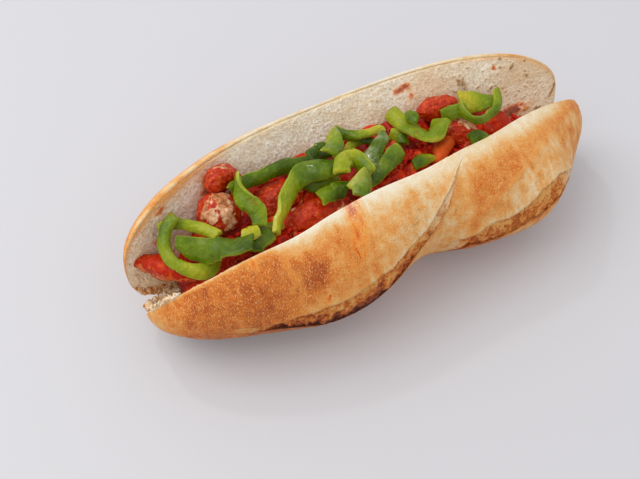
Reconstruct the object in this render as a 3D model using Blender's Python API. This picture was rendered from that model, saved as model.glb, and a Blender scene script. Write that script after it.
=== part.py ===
# Submarine sandwich: a twelve inch roll cut along one side and opened like a book,
# filled with sausage pieces, tomato pieces, tomato sauce and strips of green pepper.
#
# Frame: metres, +Z up, the floor at Z = 0. X runs along the roll. The top half of the
# roll stands towards -Y, the bottom half leans back towards +Y, and the uncut side of
# the bread, the hinge, lies along the floor between them.
#
# Along the roll every size is a function of s, which runs from -1 at the left tip to 1
# at the right tip. Everything is laid out from the middle of the hinge, and moved at the
# end so that the origin is under the middle of the whole sandwich.
#
# A hill is (height, where it stands along s, how wide it is).

import math

import bmesh
import bpy
import numpy as np
from mathutils import Matrix
from mathutils.bvhtree import BVHTree

# ---- the roll ----
HALF_LENGTH = 0.150
FACE_WIDTH = 0.084
MIDDLE = (-0.00125, -0.00207)

HINGE_HEIGHT = 0.004
HINGE_BEND = (0.0060, 0.0065)
HINGE_ENDS = (-0.86, 0.84)
HINGE_HALF_WIDTH = 0.012
HINGE_HALF_HEIGHT = 0.0072
HINGE_RISE = 0.8
HINGE_STATIONS = 20
HINGE_RING = 10

TOP_LEAN = (20.5, -8.0, 3.0)
TOP_LEAN_HILLS = ((1.9, 0.36, 0.17), (1.6, 0.08, 0.14), (1.2, -0.46, 0.12))
TOP_DEPTH = (0.0455, -0.0010)
TOP_DEPTH_HILLS = ((0.0045, -0.33, 0.22), (-0.0090, 0.05, 0.15), (0.0185, 0.63, 0.22),
                   (0.0022, 0.36, 0.15))
TOP_END_SHAPE = 2.1
TOP_TIP = 0.33
TOP_ROUNDNESS = 2.45

BOTTOM_LEAN = (38.5, 2.5, -29.0)
BOTTOM_LEAN_HILLS = ((1.5, 0.25, 0.25),)
BOTTOM_DEPTH = (0.0270, 0.0)
BOTTOM_END_SHAPE = 2.6
BOTTOM_TIP = 0.41
BOTTOM_ROUNDNESS = 2.8
BOTTOM_SHIFT = -0.0025

DOME_FULLNESS = 0.76

EAR_HEIGHT = 0.0030
EAR_DROP = 0.0016
EAR_REACH = math.radians(28)
EAR_FADE = math.radians(14)
LEFT_EAR_ANGLE = 67.0
LEFT_EAR_CLOSES = (-0.20, 0.23)
LEFT_EAR_ENDS = (-0.85, -0.50, 0.16, 0.24)
RIGHT_EAR_ANGLE = (78.0, -45.0)
RIGHT_EAR_ENDS = (0.10, 0.24, 0.80, 0.98)

TOP_STATIONS = 46
TOP_RING = 15
BOTTOM_STATIONS = 34
BOTTOM_RING = 11
FACE_STEPS = 3

# ---- the filling ----
GAP = 0.0006
CUT_GAP = 0.0004
SAUCE_ENDS = (-0.85, 0.84)
SAUCE_FLOOR = 0.0150
SAUCE_EDGE = 0.0030
SAUCE_LEVEL = (0.047, -0.006)
SAUCE_BANK = 0.0040
SAUCE_DROP_RIGHT = (0.016, 0.55, 0.85)
SAUCE_DROP_LEFT = (0.012, 0.62, 0.86)
SAUCE_STATIONS = 36
SAUCE_ACROSS = 7
CHUNK_AROUND = 12
CHUNK_UP = 7
PEPPER_WALL = 0.0034
PEPPER_CUP = 0.12
STRIP_STEP = 0.0060
STRIP_RING = 8
ROUTE_FINENESS = 16
STRIP_END_WIDTH = 0.72
CAST_HEIGHT = 0.20


def bump(s, centre, width):
    """A smooth hill of height 1 at centre."""
    return np.exp(-((s - centre) / width) ** 2)


def taper(s, power):
    """Falls from 1 in the middle to 0 at both tips, on a superellipse."""
    return np.clip(1.0 - np.abs(s) ** power, 0.0, 1.0) ** (1.0 / power)


def ramp(s, start, end):
    """Rises smoothly from 0 at start to 1 at end."""
    t = np.clip((s - start) / (end - start), 0.0, 1.0)
    return t * t * (3.0 - 2.0 * t)


def hinge_line(s):
    """Y and Z of the line where the two cut faces would meet."""
    return np.stack([HINGE_BEND[0] * s + HINGE_BEND[1] * s * s, HINGE_HEIGHT + 0.0 * s], -1)


def hilly(s, terms, hills):
    """A polynomial in s with hills on it."""
    level = sum(term * s ** power for power, term in enumerate(terms))
    return level + sum(height * bump(s, centre, width) for height, centre, width in hills)


def top_lean(s):
    """How far the top half leans from upright, towards -Y."""
    return np.radians(hilly(s, TOP_LEAN, TOP_LEAN_HILLS))


def bottom_lean(s):
    """How far the bottom half leans from upright, towards +Y."""
    return np.radians(hilly(s, BOTTOM_LEAN, BOTTOM_LEAN_HILLS))


def top_depth(s):
    """Thickness of the top half: two lobes with a waist between them."""
    return taper(s, TOP_END_SHAPE) * hilly(s, TOP_DEPTH, TOP_DEPTH_HILLS)


def bottom_depth(s):
    """Thickness of the bottom half."""
    return taper(s, BOTTOM_END_SHAPE) * hilly(s, BOTTOM_DEPTH, ())


def hinge_rise(s):
    """How far the hinge rises towards the tips, following the edges of the cut faces."""
    return HINGE_RISE * TOP_TIP * (1.0 - taper(s, TOP_ROUNDNESS)) * FACE_WIDTH


def cut_face(s, lean, side, roundness, tip):
    """Free edge, hinge edge and direction of one cut face, in the Y-Z plane."""
    along = np.stack([side * np.sin(lean), np.cos(lean)], -1)
    width = taper(s, roundness)
    hinge = hinge_line(s)
    free = hinge + along * ((tip + (1.0 - tip) * width) * FACE_WIDTH)[:, None]
    low = hinge + along * ((tip - tip * width) * FACE_WIDTH)[:, None]
    return free, low, along


def ear_relief(s, angle):
    """Crust lifted along the two scores: a lip, and a drop just below it."""
    degrees = np.degrees(angle)
    lip_left = LEFT_EAR_ANGLE * (1.0 - ramp(s, *LEFT_EAR_CLOSES)) + 0.0 * degrees
    lip_right = hilly(s, RIGHT_EAR_ANGLE, ()) + 0.0 * degrees
    left = ramp(s, *LEFT_EAR_ENDS[:2]) * (1.0 - ramp(s, *LEFT_EAR_ENDS[2:]))
    right = ramp(s, *RIGHT_EAR_ENDS[:2]) * (1.0 - ramp(s, *RIGHT_EAR_ENDS[2:]))
    relief = 0.0
    for lip, share in ((lip_left, left), (lip_right, right)):
        away = np.radians(degrees - lip)
        above = EAR_HEIGHT * np.exp(np.minimum(away, 0.0) / EAR_REACH)
        below = -EAR_DROP * np.exp(-np.maximum(away, 0.0) / EAR_FADE)
        relief = relief + share * np.where(away <= 0.0, above, below)
    return relief * np.sin(np.clip(angle * 1.6, 0.0, math.pi / 2)) * np.sin(angle) ** 0.5


def stations(count):
    """Places along the roll, closer together towards the tips, without the tips."""
    angle = np.linspace(-math.pi / 2, math.pi / 2, count + 2)[1:-1]
    return np.sin(angle)


def half_rings(s, lean, side, roundness, tip, depth, ring, relief, shift):
    """Closed sections of one half: round the crust from the free edge, back up the cut."""
    free, low, along = cut_face(s, lean, side, roundness, tip)
    outward = np.stack([side * along[:, 1], -side * along[:, 0]], -1)
    middle = (free + low) / 2
    half = np.linalg.norm(free - low, axis=1) / 2
    angle = np.linspace(0.0, math.pi, ring + 1)[None, :]
    reach = depth[:, None] * np.sin(angle) ** DOME_FULLNESS + relief(s[:, None], angle)
    crust = (middle[:, None] + along[:, None] * (half[:, None] * np.cos(angle))[..., None]
             + outward[:, None] * reach[..., None])
    rise = (np.arange(1, FACE_STEPS) / FACE_STEPS)[None, :, None]
    face = low[:, None] + (free - low)[:, None] * rise
    section = np.concatenate([crust, face], 1)
    x = np.broadcast_to((s * HALF_LENGTH + shift)[:, None, None], section.shape[:2] + (1,))
    return np.concatenate([x, section], -1)


def tip_point(side, end, lean, tip, roundness, shift):
    """The point where one half's section shrinks to nothing."""
    s = np.array([float(end)])
    free = cut_face(s, lean(s), side, roundness, tip)[0]
    return (end * HALF_LENGTH + shift, free[0, 0], free[0, 1])


def no_relief(s, angle):
    """A plain crust."""
    return 0.0 * s * angle


def skin_rings(name, rings, start=None, end=None):
    """Join closed sections into one closed mesh, with a point or a flat cap at each end."""
    around = rings.shape[1]
    mesh = bmesh.new()
    rows = [[mesh.verts.new(point) for point in ring] for ring in rings]
    for row, after in zip(rows, rows[1:]):
        for i in range(around):
            j = (i + 1) % around
            mesh.faces.new((row[i], row[j], after[j], after[i]))
    for row, apex in ((rows[0], start), (rows[-1], end)):
        if apex is None:
            mesh.faces.new(row)
            continue
        tip = mesh.verts.new(apex)
        for i in range(around):
            mesh.faces.new((row[i], row[(i + 1) % around], tip))
    bmesh.ops.recalc_face_normals(mesh, faces=mesh.faces)
    data = bpy.data.meshes.new(name)
    mesh.to_mesh(data)
    mesh.free()
    return bpy.data.objects.new(name, data)


def material(name, colour, roughness):
    """A plain Principled finish."""
    finish = bpy.data.materials.new(name)
    finish.use_nodes = True
    shader = finish.node_tree.nodes["Principled BSDF"]
    shader.inputs["Base Color"].default_value = (*colour, 1.0)
    shader.inputs["Roughness"].default_value = roughness
    shader.inputs["Metallic"].default_value = 0.0
    return finish


def add_part(piece, finish, group):
    """Give a piece its finish and put it in a collection."""
    piece.data.materials.clear()
    piece.data.materials.append(finish)
    group.objects.link(piece)
    piece.data.shade_smooth()
    piece.data.set_sharp_from_angle(angle=math.radians(50))
    return piece


def add_cutter(piece, group):
    """A guide solid that only cuts or joins others."""
    group.objects.link(piece)
    piece.hide_render = True
    piece.display_type = "WIRE"
    return piece


def boolean(piece, operation, other):
    """Join or cut piece with other."""
    step = piece.modifiers.new(other.name, "BOOLEAN")
    step.operation = operation
    step.solver = "EXACT"
    step.object = other


def build_roll(parts, cutters, finish):
    """Both halves and the hinge joined, with flat spots where the roll rests."""
    s = stations(TOP_STATIONS)
    rings = half_rings(s, top_lean(s), -1, TOP_ROUNDNESS, TOP_TIP, top_depth(s),
                       TOP_RING, ear_relief, 0.0)
    ends = [tip_point(-1, end, top_lean, TOP_TIP, TOP_ROUNDNESS, 0.0) for end in (-1, 1)]
    roll = add_part(skin_rings("roll", rings, *ends), finish, parts)

    s = stations(BOTTOM_STATIONS)
    rings = half_rings(s, bottom_lean(s), 1, BOTTOM_ROUNDNESS, BOTTOM_TIP, bottom_depth(s),
                       BOTTOM_RING, no_relief, BOTTOM_SHIFT)
    ends = [tip_point(1, end, bottom_lean, BOTTOM_TIP, BOTTOM_ROUNDNESS, BOTTOM_SHIFT)
            for end in (-1, 1)]
    bottom = add_cutter(skin_rings("bottom_half", rings, *ends), cutters)

    s = np.linspace(HINGE_ENDS[0], HINGE_ENDS[1], HINGE_STATIONS)
    across = np.linspace(0.0, 2 * math.pi, HINGE_RING, endpoint=False)
    swell = np.clip(np.sin((s - s[0]) / (s[-1] - s[0]) * math.pi), 0.0, 1.0) ** 0.5 + 0.08
    y = hinge_line(s)[:, :1] + HINGE_HALF_WIDTH * swell[:, None] * np.cos(across)
    z = HINGE_HALF_HEIGHT * (0.95 + swell[:, None] * np.sin(across)) + hinge_rise(s)[:, None]
    x = np.broadcast_to((s * HALF_LENGTH)[:, None], y.shape)
    hinge = add_cutter(skin_rings("hinge", np.stack([x, y, z], -1)), cutters)

    mesh = bmesh.new()
    bmesh.ops.create_cube(mesh, size=4 * HALF_LENGTH)
    bmesh.ops.translate(mesh, verts=mesh.verts, vec=(0.0, 0.0, -2 * HALF_LENGTH))
    data = bpy.data.meshes.new("floor_cut")
    mesh.to_mesh(data)
    mesh.free()
    floor = add_cutter(bpy.data.objects.new("floor_cut", data), cutters)

    boolean(roll, "UNION", bottom)
    boolean(roll, "UNION", hinge)
    boolean(roll, "DIFFERENCE", floor)
    return roll


def sauce_level(s, across):
    """Height of the sauce: across runs from 0 at the top half to 1 at the bottom half."""
    drop_right = SAUCE_DROP_RIGHT[0] * ramp(s, *SAUCE_DROP_RIGHT[1:])
    drop_left = SAUCE_DROP_LEFT[0] * ramp(-s, *SAUCE_DROP_LEFT[1:])
    swell = 0.0016 * np.sin(9.0 * s + 4.0 * across) + 0.0012 * np.sin(23.0 * s - 5.0 * across)
    level = hilly(s, SAUCE_LEVEL, ()) - drop_right - drop_left + SAUCE_BANK * across
    return level + swell * np.sin(math.pi * np.clip(across, 0.02, 0.98))


def face_point(s, lean, side, height):
    """Y and Z on a cut face at a height, a gap inside the filling's space."""
    hinge = hinge_line(s)
    run = (height - HINGE_HEIGHT) * np.tan(lean) - GAP / np.cos(lean)
    return np.stack([hinge[:, 0] + side * run, height + 0.0 * s], -1)


def build_sauce(parts, finish):
    """The bed of sauce that fills the bottom of the opening up to its uneven surface."""
    s = np.linspace(SAUCE_ENDS[0], SAUCE_ENDS[1], SAUCE_STATIONS)
    fade = np.clip(1.0 - np.abs((s - s.mean()) / (s[-1] - s.mean())) ** 6, 0.0, 1.0) ** 0.5
    low = SAUCE_FLOOR + GAP + hinge_rise(s)
    across = np.linspace(0.0, 1.0, SAUCE_ACROSS)
    level = sauce_level(s[:, None], across[None, :])
    shallow = (low + SAUCE_EDGE)[:, None]
    level = shallow + (level - shallow) * (0.25 + 0.75 * fade)[:, None]
    near = face_point(s, top_lean(s), -1, level[:, 0])
    s_far = s - BOTTOM_SHIFT / HALF_LENGTH
    far = face_point(s_far, bottom_lean(s_far), 1, level[:, -1])
    near_low = face_point(s, top_lean(s), -1, low)
    far_low = face_point(s_far, bottom_lean(s_far), 1, low)
    share = across[None, :, None]
    top = near[:, None] * (1 - share) + far[:, None] * share
    top[..., 1] = level
    mid_near = (near + near_low)[:, None] / 2
    mid_far = (far + far_low)[:, None] / 2
    section = np.concatenate([top, mid_far, far_low[:, None], near_low[:, None], mid_near], 1)
    x = np.broadcast_to((s * HALF_LENGTH)[:, None, None], section.shape[:2] + (1,))
    sauce = skin_rings("sauce", np.concatenate([x, section], -1))
    return add_part(sauce, finish, parts)


def chunk_mesh(name, centre, radii, turn, tilt, wave, grow=0.0):
    """An uneven rounded piece: an ellipsoid with shallow waves, turned and tilted."""
    mesh = bmesh.new()
    bmesh.ops.create_uvsphere(mesh, u_segments=CHUNK_AROUND, v_segments=CHUNK_UP, radius=1.0)
    for vert in mesh.verts:
        x, y, z = vert.co
        swell = 1.0 + wave * math.sin(3.1 * x + 1.7 * y) * math.cos(2.3 * z + 1.1 * x)
        sizes = [radius * swell + grow for radius in radii]
        vert.co = (x * sizes[0], y * sizes[1], z * sizes[2])
    cos_tilt, sin_tilt = math.cos(tilt), math.sin(tilt)
    cos_turn, sin_turn = math.cos(turn), math.sin(turn)
    for vert in mesh.verts:
        x, y, z = vert.co
        x, z = x * cos_tilt + z * sin_tilt, z * cos_tilt - x * sin_tilt
        x, y = x * cos_turn - y * sin_turn, x * sin_turn + y * cos_turn
        vert.co = (x + centre[0], y + centre[1], z + centre[2])
    data = bpy.data.meshes.new(name)
    mesh.to_mesh(data)
    mesh.free()
    return bpy.data.objects.new(name, data)


# name, centre, radii, turn and tilt in degrees, waviness
SAUSAGES = (
    ("sausage_1", (-0.094, 0.010, 0.057), (0.0130, 0.0125, 0.0125), 20, 15, 0.03),
    ("sausage_2", (-0.090, 0.0235, 0.0735), (0.0085, 0.0065, 0.0070), 60, 20, 0.06),
    ("sausage_3", (-0.058, 0.010, 0.050), (0.0170, 0.0110, 0.0100), 15, 0, 0.05),
    ("sausage_4", (-0.044, -0.007, 0.046), (0.0240, 0.0090, 0.0105), 4, 0, 0.04),
    ("sausage_5", (0.066, 0.011, 0.048), (0.0120, 0.0095, 0.0090), -30, 10, 0.06),
    ("sausage_6", (0.060, 0.029, 0.056), (0.0150, 0.0070, 0.0075), -4, 5, 0.05),
)
TOMATOES = (
    ("tomato_1", (-0.130, -0.005, 0.046), (0.0175, 0.0062, 0.0058), -44, -4, 0.05),
    ("tomato_2", (0.047, 0.001, 0.050), (0.0100, 0.0060, 0.0055), 35, 0, 0.08),
    ("tomato_3", (0.092, 0.010, 0.044), (0.0110, 0.0090, 0.0065), 10, 0, 0.06),
)


def build_chunks(rows, finish, parts, cutters, sauce):
    """Rounded pieces set into the sauce, which is cut back a hair around each."""
    pieces = []
    for name, centre, radii, turn, tilt, wave in rows:
        place = (centre, radii, math.radians(turn), math.radians(tilt), wave)
        pieces.append(add_part(chunk_mesh(name, *place), finish, parts))
        cutter = add_cutter(chunk_mesh(name + "_cut", *place, grow=CUT_GAP), cutters)
        boolean(sauce, "DIFFERENCE", cutter)
    return pieces


# name, width, roll about its own line, start (x, y), heading, then its arcs (length, turn),
# with lengths in metres and angles in degrees, heading 0 towards +X and turns to the left
STRIPS = (
    ("pepper_01", 0.0060, 35, (-0.127, 0.012), 10, ((0.015, -52), (0.020, -2))),
    ("pepper_02", 0.0060, 20, (-0.119, 0.010), -165, ((0.024, 100), (0.014, 30), (0.018, 130))),
    ("pepper_03", 0.0140, 15, (-0.077, -0.017), -157, ((0.018, -20),)),
    ("pepper_04", 0.0120, 30, (-0.123, -0.005), -30, ((0.028, -18), (0.013, 60))),
    ("pepper_05", 0.0080, 0, (-0.090, -0.018), 0, ((0.007, 0),)),
    ("pepper_06", 0.0080, 0, (-0.076, -0.011), 12, ((0.009, 0),)),
    ("pepper_07", 0.0075, 30, (-0.085, 0.011), 60, ((0.022, -58), (0.028, 0), (0.011, -45))),
    ("pepper_08", 0.0090, 20, (-0.079, 0.012), -122, ((0.013, 60), (0.014, -50))),
    ("pepper_09", 0.0090, 20, (-0.033, 0.019), 40, ((0.017, -42),)),
    ("pepper_10", 0.0090, 10, (-0.013, 0.034), -95, ((0.024, -65),)),
    ("pepper_11", 0.0070, 40, (-0.040, 0.011), -80, ((0.021, 125),)),
    ("pepper_12", 0.0090, 20, (-0.039, -0.007), 16, ((0.015, -35),)),
    ("pepper_13", 0.0050, 45, (-0.006, 0.023), 50, ((0.018, -95),)),
    ("pepper_14", 0.0060, 35, (-0.006, 0.035), -70, ((0.018, 72), (0.009, 8))),
    ("pepper_15", 0.0120, 0, (0.015, 0.019), -145, ((0.027, 18),)),
    ("pepper_16", 0.0090, -20, (0.017, 0.004), -155, ((0.014, 10), (0.014, -8))),
    ("pepper_17", 0.0080, 20, (0.025, 0.024), -35, ((0.010, -65),)),
    ("pepper_18", 0.0105, 25, (-0.072, -0.018), 57, ((0.035, -22), (0.012, -55), (0.017, 22))),
    ("pepper_19", 0.0090, 20, (-0.024, -0.002), 68, ((0.008, -20), (0.013, -125), (0.010, -15))),
    ("pepper_20", 0.0130, 0, (-0.018, -0.004), -85, ((0.016, -50),)),
    ("pepper_21", 0.0100, 25, (0.031, 0.035), -88, ((0.027, 24), (0.010, 95), (0.010, 22))),
    ("pepper_22", 0.0070, 10, (0.035, 0.024), -72, ((0.006, 0),)),
    ("pepper_23", 0.0090, 20, (0.057, 0.018), -3, ((0.013, -24),)),
    ("pepper_24", 0.0140, 35, (0.076, 0.027), -28, ((0.019, 20),)),
    ("pepper_25", 0.0050, 30, (0.066, 0.015), -100, ((0.016, 110), (0.013, 14), (0.015, 62))),
    ("pepper_26", 0.0080, 20, (0.0640, -0.0035), 35, ((0.012, -95),)),
    ("pepper_27", 0.0080, 10, (0.025, -0.004), 28, ((0.011, -22),)),
)


def strip_route(start, heading, arcs):
    """Evenly spaced points along arcs that follow each other without a kink."""
    lengths = np.concatenate([[0.0], np.cumsum([length for length, turn in arcs])])
    turns = np.concatenate([[0.0], np.cumsum([turn for length, turn in arcs])])
    count = max(3, int(round(lengths[-1] / STRIP_STEP)))
    fine = np.linspace(0.0, lengths[-1], count * ROUTE_FINENESS + 1)
    middle = (fine[:-1] + fine[1:]) / 2
    angle = np.radians(heading + np.interp(middle, lengths, turns))
    run = np.stack([np.cos(angle), np.sin(angle)], -1) * fine[1]
    points = np.array(start) + np.concatenate([np.zeros((1, 2)), np.cumsum(run, axis=0)])
    return points[::ROUTE_FINENESS]


def ground_height(x, y, below):
    """Top of whatever lies under a point."""
    height = 0.0
    for tree in below:
        hit = tree.ray_cast((x, y, CAST_HEIGHT), (0.0, 0.0, -1.0))[0]
        if hit is not None:
            height = max(height, hit.z)
    return height


def resting_heights(path, half_width, below):
    """A smooth line that stays above everything under a strip of that half width."""
    run = np.gradient(path, axis=0)
    run /= np.linalg.norm(run, axis=1)[:, None]
    side = np.stack([-run[:, 1], run[:, 0]], -1)
    floor = []
    for point, across in zip(path, side):
        spots = [point + across * half_width * t for t in (-1.0, -0.5, 0.0, 0.5, 1.0)]
        floor.append(max(ground_height(x, y, below) for x, y in spots))
    floor = np.array(floor)
    # Between stations the strip is straight, so each station clears its neighbours' ground.
    padded = np.concatenate([floor[:1], floor, floor[-1:]])
    floor = np.maximum(np.maximum(padded[:-2], padded[2:]) * 0.5 + floor * 0.5, floor)
    line = floor.copy()
    for _ in range(12):
        padded = np.concatenate([line[:1], line, line[-1:]])
        line = np.maximum(floor, (padded[:-2] + 2 * line + padded[2:]) / 4)
    return line


def strip_profile(name, width, wall):
    """Section of a strip: a flat oval, cupped like the wall of a pepper."""
    curve = bpy.data.curves.new(name, "CURVE")
    curve.dimensions = "2D"
    spline = curve.splines.new("POLY")
    angles = (np.arange(STRIP_RING) + 0.5) * 2 * math.pi / STRIP_RING
    spline.points.add(len(angles) - 1)
    for point, angle in zip(spline.points, angles):
        x = width / 2 * math.copysign(abs(math.cos(angle)) ** 0.7, math.cos(angle))
        y = wall / 2 * math.copysign(abs(math.sin(angle)) ** 0.7, math.sin(angle))
        cup = PEPPER_CUP * width * (1.0 - (2 * x / width) ** 2)
        point.co = (x, y + cup, 0.0, 1.0)
    spline.use_cyclic_u = True
    profile = bpy.data.objects.new(name, curve)
    bpy.context.scene.collection.objects.link(profile)
    return profile


def lay_strip(name, width, roll, path, below, finish, parts):
    """A strip of pepper wall swept along its path and rested on what lies there."""
    angle = math.radians(roll)
    half_width = (abs(math.cos(angle)) * width + abs(math.sin(angle)) * PEPPER_WALL) / 2
    half_height = (abs(math.sin(angle)) * width + abs(math.cos(angle)) * PEPPER_WALL) / 2
    line = resting_heights(path, half_width, below) + half_height + GAP

    profile = strip_profile(name + "_profile", width, PEPPER_WALL)
    curve = bpy.data.curves.new(name, "CURVE")
    curve.dimensions = "3D"
    curve.twist_mode = "Z_UP"
    curve.bevel_mode = "OBJECT"
    curve.bevel_object = profile
    curve.use_fill_caps = True
    spline = curve.splines.new("POLY")
    spline.points.add(len(path) - 1)
    ends = np.sin(np.linspace(0.0, math.pi, len(path))) ** 0.35
    for point, (x, y), z, narrow in zip(spline.points, path, line, ends):
        point.co = (x, y, z, 1.0)
        point.tilt = angle
        point.radius = STRIP_END_WIDTH + (1.0 - STRIP_END_WIDTH) * narrow
    sweep = bpy.data.objects.new(name + "_sweep", curve)
    bpy.context.scene.collection.objects.link(sweep)
    graph = bpy.context.evaluated_depsgraph_get()
    data = bpy.data.meshes.new_from_object(sweep.evaluated_get(graph))
    data.name = name
    mesh = bmesh.new()
    mesh.from_mesh(data)
    bmesh.ops.remove_doubles(mesh, verts=mesh.verts, dist=0.00001)
    bmesh.ops.recalc_face_normals(mesh, faces=mesh.faces)
    mesh.to_mesh(data)
    mesh.free()
    bpy.data.objects.remove(sweep)
    bpy.data.objects.remove(profile)
    return add_part(bpy.data.objects.new(name, data), finish, parts)


def main():
    """Build the sandwich from the bread outwards, in the order it is filled."""
    for old in list(bpy.data.objects):
        bpy.data.objects.remove(old, do_unlink=True)
    scene = bpy.context.scene.collection
    parts = bpy.data.collections.new("submarine_sandwich")
    cutters = bpy.data.collections.new("cutters")
    scene.children.link(parts)
    scene.children.link(cutters)

    bread = material("baked_crust", (0.66, 0.36, 0.14), 0.6)
    sauce_red = material("tomato_sauce", (0.55, 0.06, 0.02), 0.3)
    meat = material("sausage_meat", (0.45, 0.16, 0.10), 0.45)
    tomato = material("cooked_tomato", (0.70, 0.10, 0.03), 0.3)
    green = material("green_pepper", (0.16, 0.35, 0.04), 0.3)

    roll = build_roll(parts, cutters, bread)
    sauce = build_sauce(parts, sauce_red)
    pieces = build_chunks(SAUSAGES, meat, parts, cutters, sauce)
    pieces += build_chunks(TOMATOES, tomato, parts, cutters, sauce)

    bpy.context.view_layer.update()
    graph = bpy.context.evaluated_depsgraph_get()
    below = [BVHTree.FromObject(piece, graph) for piece in [roll, sauce] + pieces]
    for name, width, roll_angle, start, heading, arcs in STRIPS:
        path = strip_route(start, heading, arcs)
        strip = lay_strip(name, width, roll_angle, path, below, green, parts)
        bpy.context.view_layer.update()
        graph = bpy.context.evaluated_depsgraph_get()
        below.append(BVHTree.FromObject(strip, graph))

    to_origin = Matrix.Translation((-MIDDLE[0], -MIDDLE[1], 0.0))
    for piece in list(parts.objects) + list(cutters.objects):
        piece.data.transform(to_origin)


main()
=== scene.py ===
# %% [markdown]
# A submarine sandwich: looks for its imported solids.
#
# The solids give the pieces their sizes and places, and stay as they are. This lesson puts
# visible pieces over them: crust and crumb over the roll, a lumpy bed over the sauce, and one
# detailed piece over each chunk and each strip of pepper. It loads the solids first, because
# the object's box and the heights of the strips are read from them.

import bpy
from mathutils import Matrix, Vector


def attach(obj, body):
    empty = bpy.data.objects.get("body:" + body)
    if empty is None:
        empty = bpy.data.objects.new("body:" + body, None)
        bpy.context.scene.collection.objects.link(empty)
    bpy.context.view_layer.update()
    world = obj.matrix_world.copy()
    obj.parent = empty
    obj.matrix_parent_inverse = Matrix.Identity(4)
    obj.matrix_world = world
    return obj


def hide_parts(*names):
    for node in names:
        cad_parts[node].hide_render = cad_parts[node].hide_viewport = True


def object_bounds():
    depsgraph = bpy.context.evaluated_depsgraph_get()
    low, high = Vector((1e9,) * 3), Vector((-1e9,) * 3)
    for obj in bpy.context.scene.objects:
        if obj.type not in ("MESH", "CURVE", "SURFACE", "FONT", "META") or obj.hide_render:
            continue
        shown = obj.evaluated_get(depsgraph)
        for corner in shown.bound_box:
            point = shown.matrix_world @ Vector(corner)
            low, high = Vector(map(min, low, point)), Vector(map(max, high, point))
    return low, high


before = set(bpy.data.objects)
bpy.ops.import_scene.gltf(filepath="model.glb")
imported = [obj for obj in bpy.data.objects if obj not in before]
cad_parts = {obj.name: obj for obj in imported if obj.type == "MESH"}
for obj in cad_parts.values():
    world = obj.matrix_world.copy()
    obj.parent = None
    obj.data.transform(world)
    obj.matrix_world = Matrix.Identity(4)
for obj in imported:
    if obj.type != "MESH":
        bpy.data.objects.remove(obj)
CAD_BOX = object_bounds()
print("the sandwich fills", CAD_BOX)

# %% Tools
import itertools
import math

import bpy
import numpy as np
from mathutils import Vector

MM = 0.001
LOW, HIGH = (np.array(corner) for corner in CAD_BOX)

# %% [markdown]
# The camera and the light come first, so that every finish is judged in its final light.
# Food is usually shown in soft daylight from behind and from one side: the light then rakes
# over the bread and glints on whatever is wet. One large soft lamp stands in for the window,
# a small one behind the food makes the glints, and a pale sky keeps the shadows open.

# %% Camera
CAMERA_TARGET = Vector((-0.03935, -0.00653, 0.024))
CAMERA_BACK = Vector((-0.2685, -0.5386, 0.7986))
CAMERA_DISTANCE = 0.476

camera_data = bpy.data.cameras.new("camera")
camera_data.lens = 45.0
camera_data.sensor_width = 36.0
camera = bpy.data.objects.new("camera", camera_data)
camera.location = CAMERA_TARGET + CAMERA_BACK * CAMERA_DISTANCE
camera.rotation_euler = (-CAMERA_BACK).to_track_quat("-Z", "Y").to_euler()
bpy.context.scene.collection.objects.link(camera)
bpy.context.scene.camera = camera
print("camera at", [round(value, 3) for value in camera.location])


# %% Light
def soft_lamp(name, place, aim, size, power, colour):
    """A square lamp of a given size at place, facing aim."""
    data = bpy.data.lights.new(name, "AREA")
    data.shape = "SQUARE"
    data.size = size
    data.energy = power
    data.color = colour
    lamp = bpy.data.objects.new(name, data)
    lamp.location = place
    lamp.rotation_euler = (Vector(aim) - Vector(place)).to_track_quat("-Z", "Y").to_euler()
    bpy.context.scene.collection.objects.link(lamp)
    return lamp


soft_lamp("window", (-1.25, 0.55, 2.00), (0.0, 0.0, 0.02), 1.80, 28.0, (1.0, 0.985, 0.96))
soft_lamp("glint", (-0.25, 1.05, 1.50), (0.0, 0.0, 0.04), 0.10, 2.6, (1.0, 0.99, 0.97))
sky = bpy.data.worlds.new("sky")
sky.use_nodes = True
sky.node_tree.nodes["Background"].inputs["Color"].default_value = (0.95, 0.97, 1.0, 1.0)
sky.node_tree.nodes["Background"].inputs["Strength"].default_value = 0.85
bpy.context.scene.world = sky
bpy.context.scene.view_settings.view_transform = "Standard"
print("two lamps and a sky")


# %% [markdown]
# Nothing baked or cooked is even, so every shape and colour here leans on noise. A noise is
# a random number at each corner of a lattice, blended smoothly in between. It depends only
# on the place and a seed, so the sandwich comes out the same each time. Pits are the other
# pattern that bread needs: a hole at a random place in some of the cells of a grid.

# %% Noise on whole arrays
def scatter(i, j, k, seed):
    """A fixed random number from 0 to 1 for whole numbers: multiply, then fold the bits."""
    mixed = (i.astype(np.int64).astype(np.uint32) * np.uint32(0x9E3779B1)
             ^ j.astype(np.int64).astype(np.uint32) * np.uint32(0x85EBCA77)
             ^ k.astype(np.int64).astype(np.uint32) * np.uint32(0xC2B2AE3D)
             ^ np.uint32((seed * 0x27D4EB2F) & 0xFFFFFFFF))
    for shift, factor in ((15, 0x2C1B3C6D), (12, 0x297A2D39)):
        mixed = (mixed ^ (mixed >> np.uint32(shift))) * np.uint32(factor)
    return (mixed ^ (mixed >> np.uint32(15))) / 4294967295.0


def noise(points, size, seed):
    """Smooth noise from -1 to 1: lattice corners blended with 3t^2 - 2t^3."""
    place = points / size
    cell = np.floor(place)
    part = place - cell
    part = part * part * (3.0 - 2.0 * part)
    total = 0.0
    for corner in itertools.product((0, 1), repeat=3):
        weight = 1.0
        for axis, step in enumerate(corner):
            weight = weight * (part[..., axis] if step else 1.0 - part[..., axis])
        value = scatter(cell[..., 0] + corner[0], cell[..., 1] + corner[1],
                        cell[..., 2] + corner[2], seed)
        total = total + weight * value
    return 2.0 * total - 1.0


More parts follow.
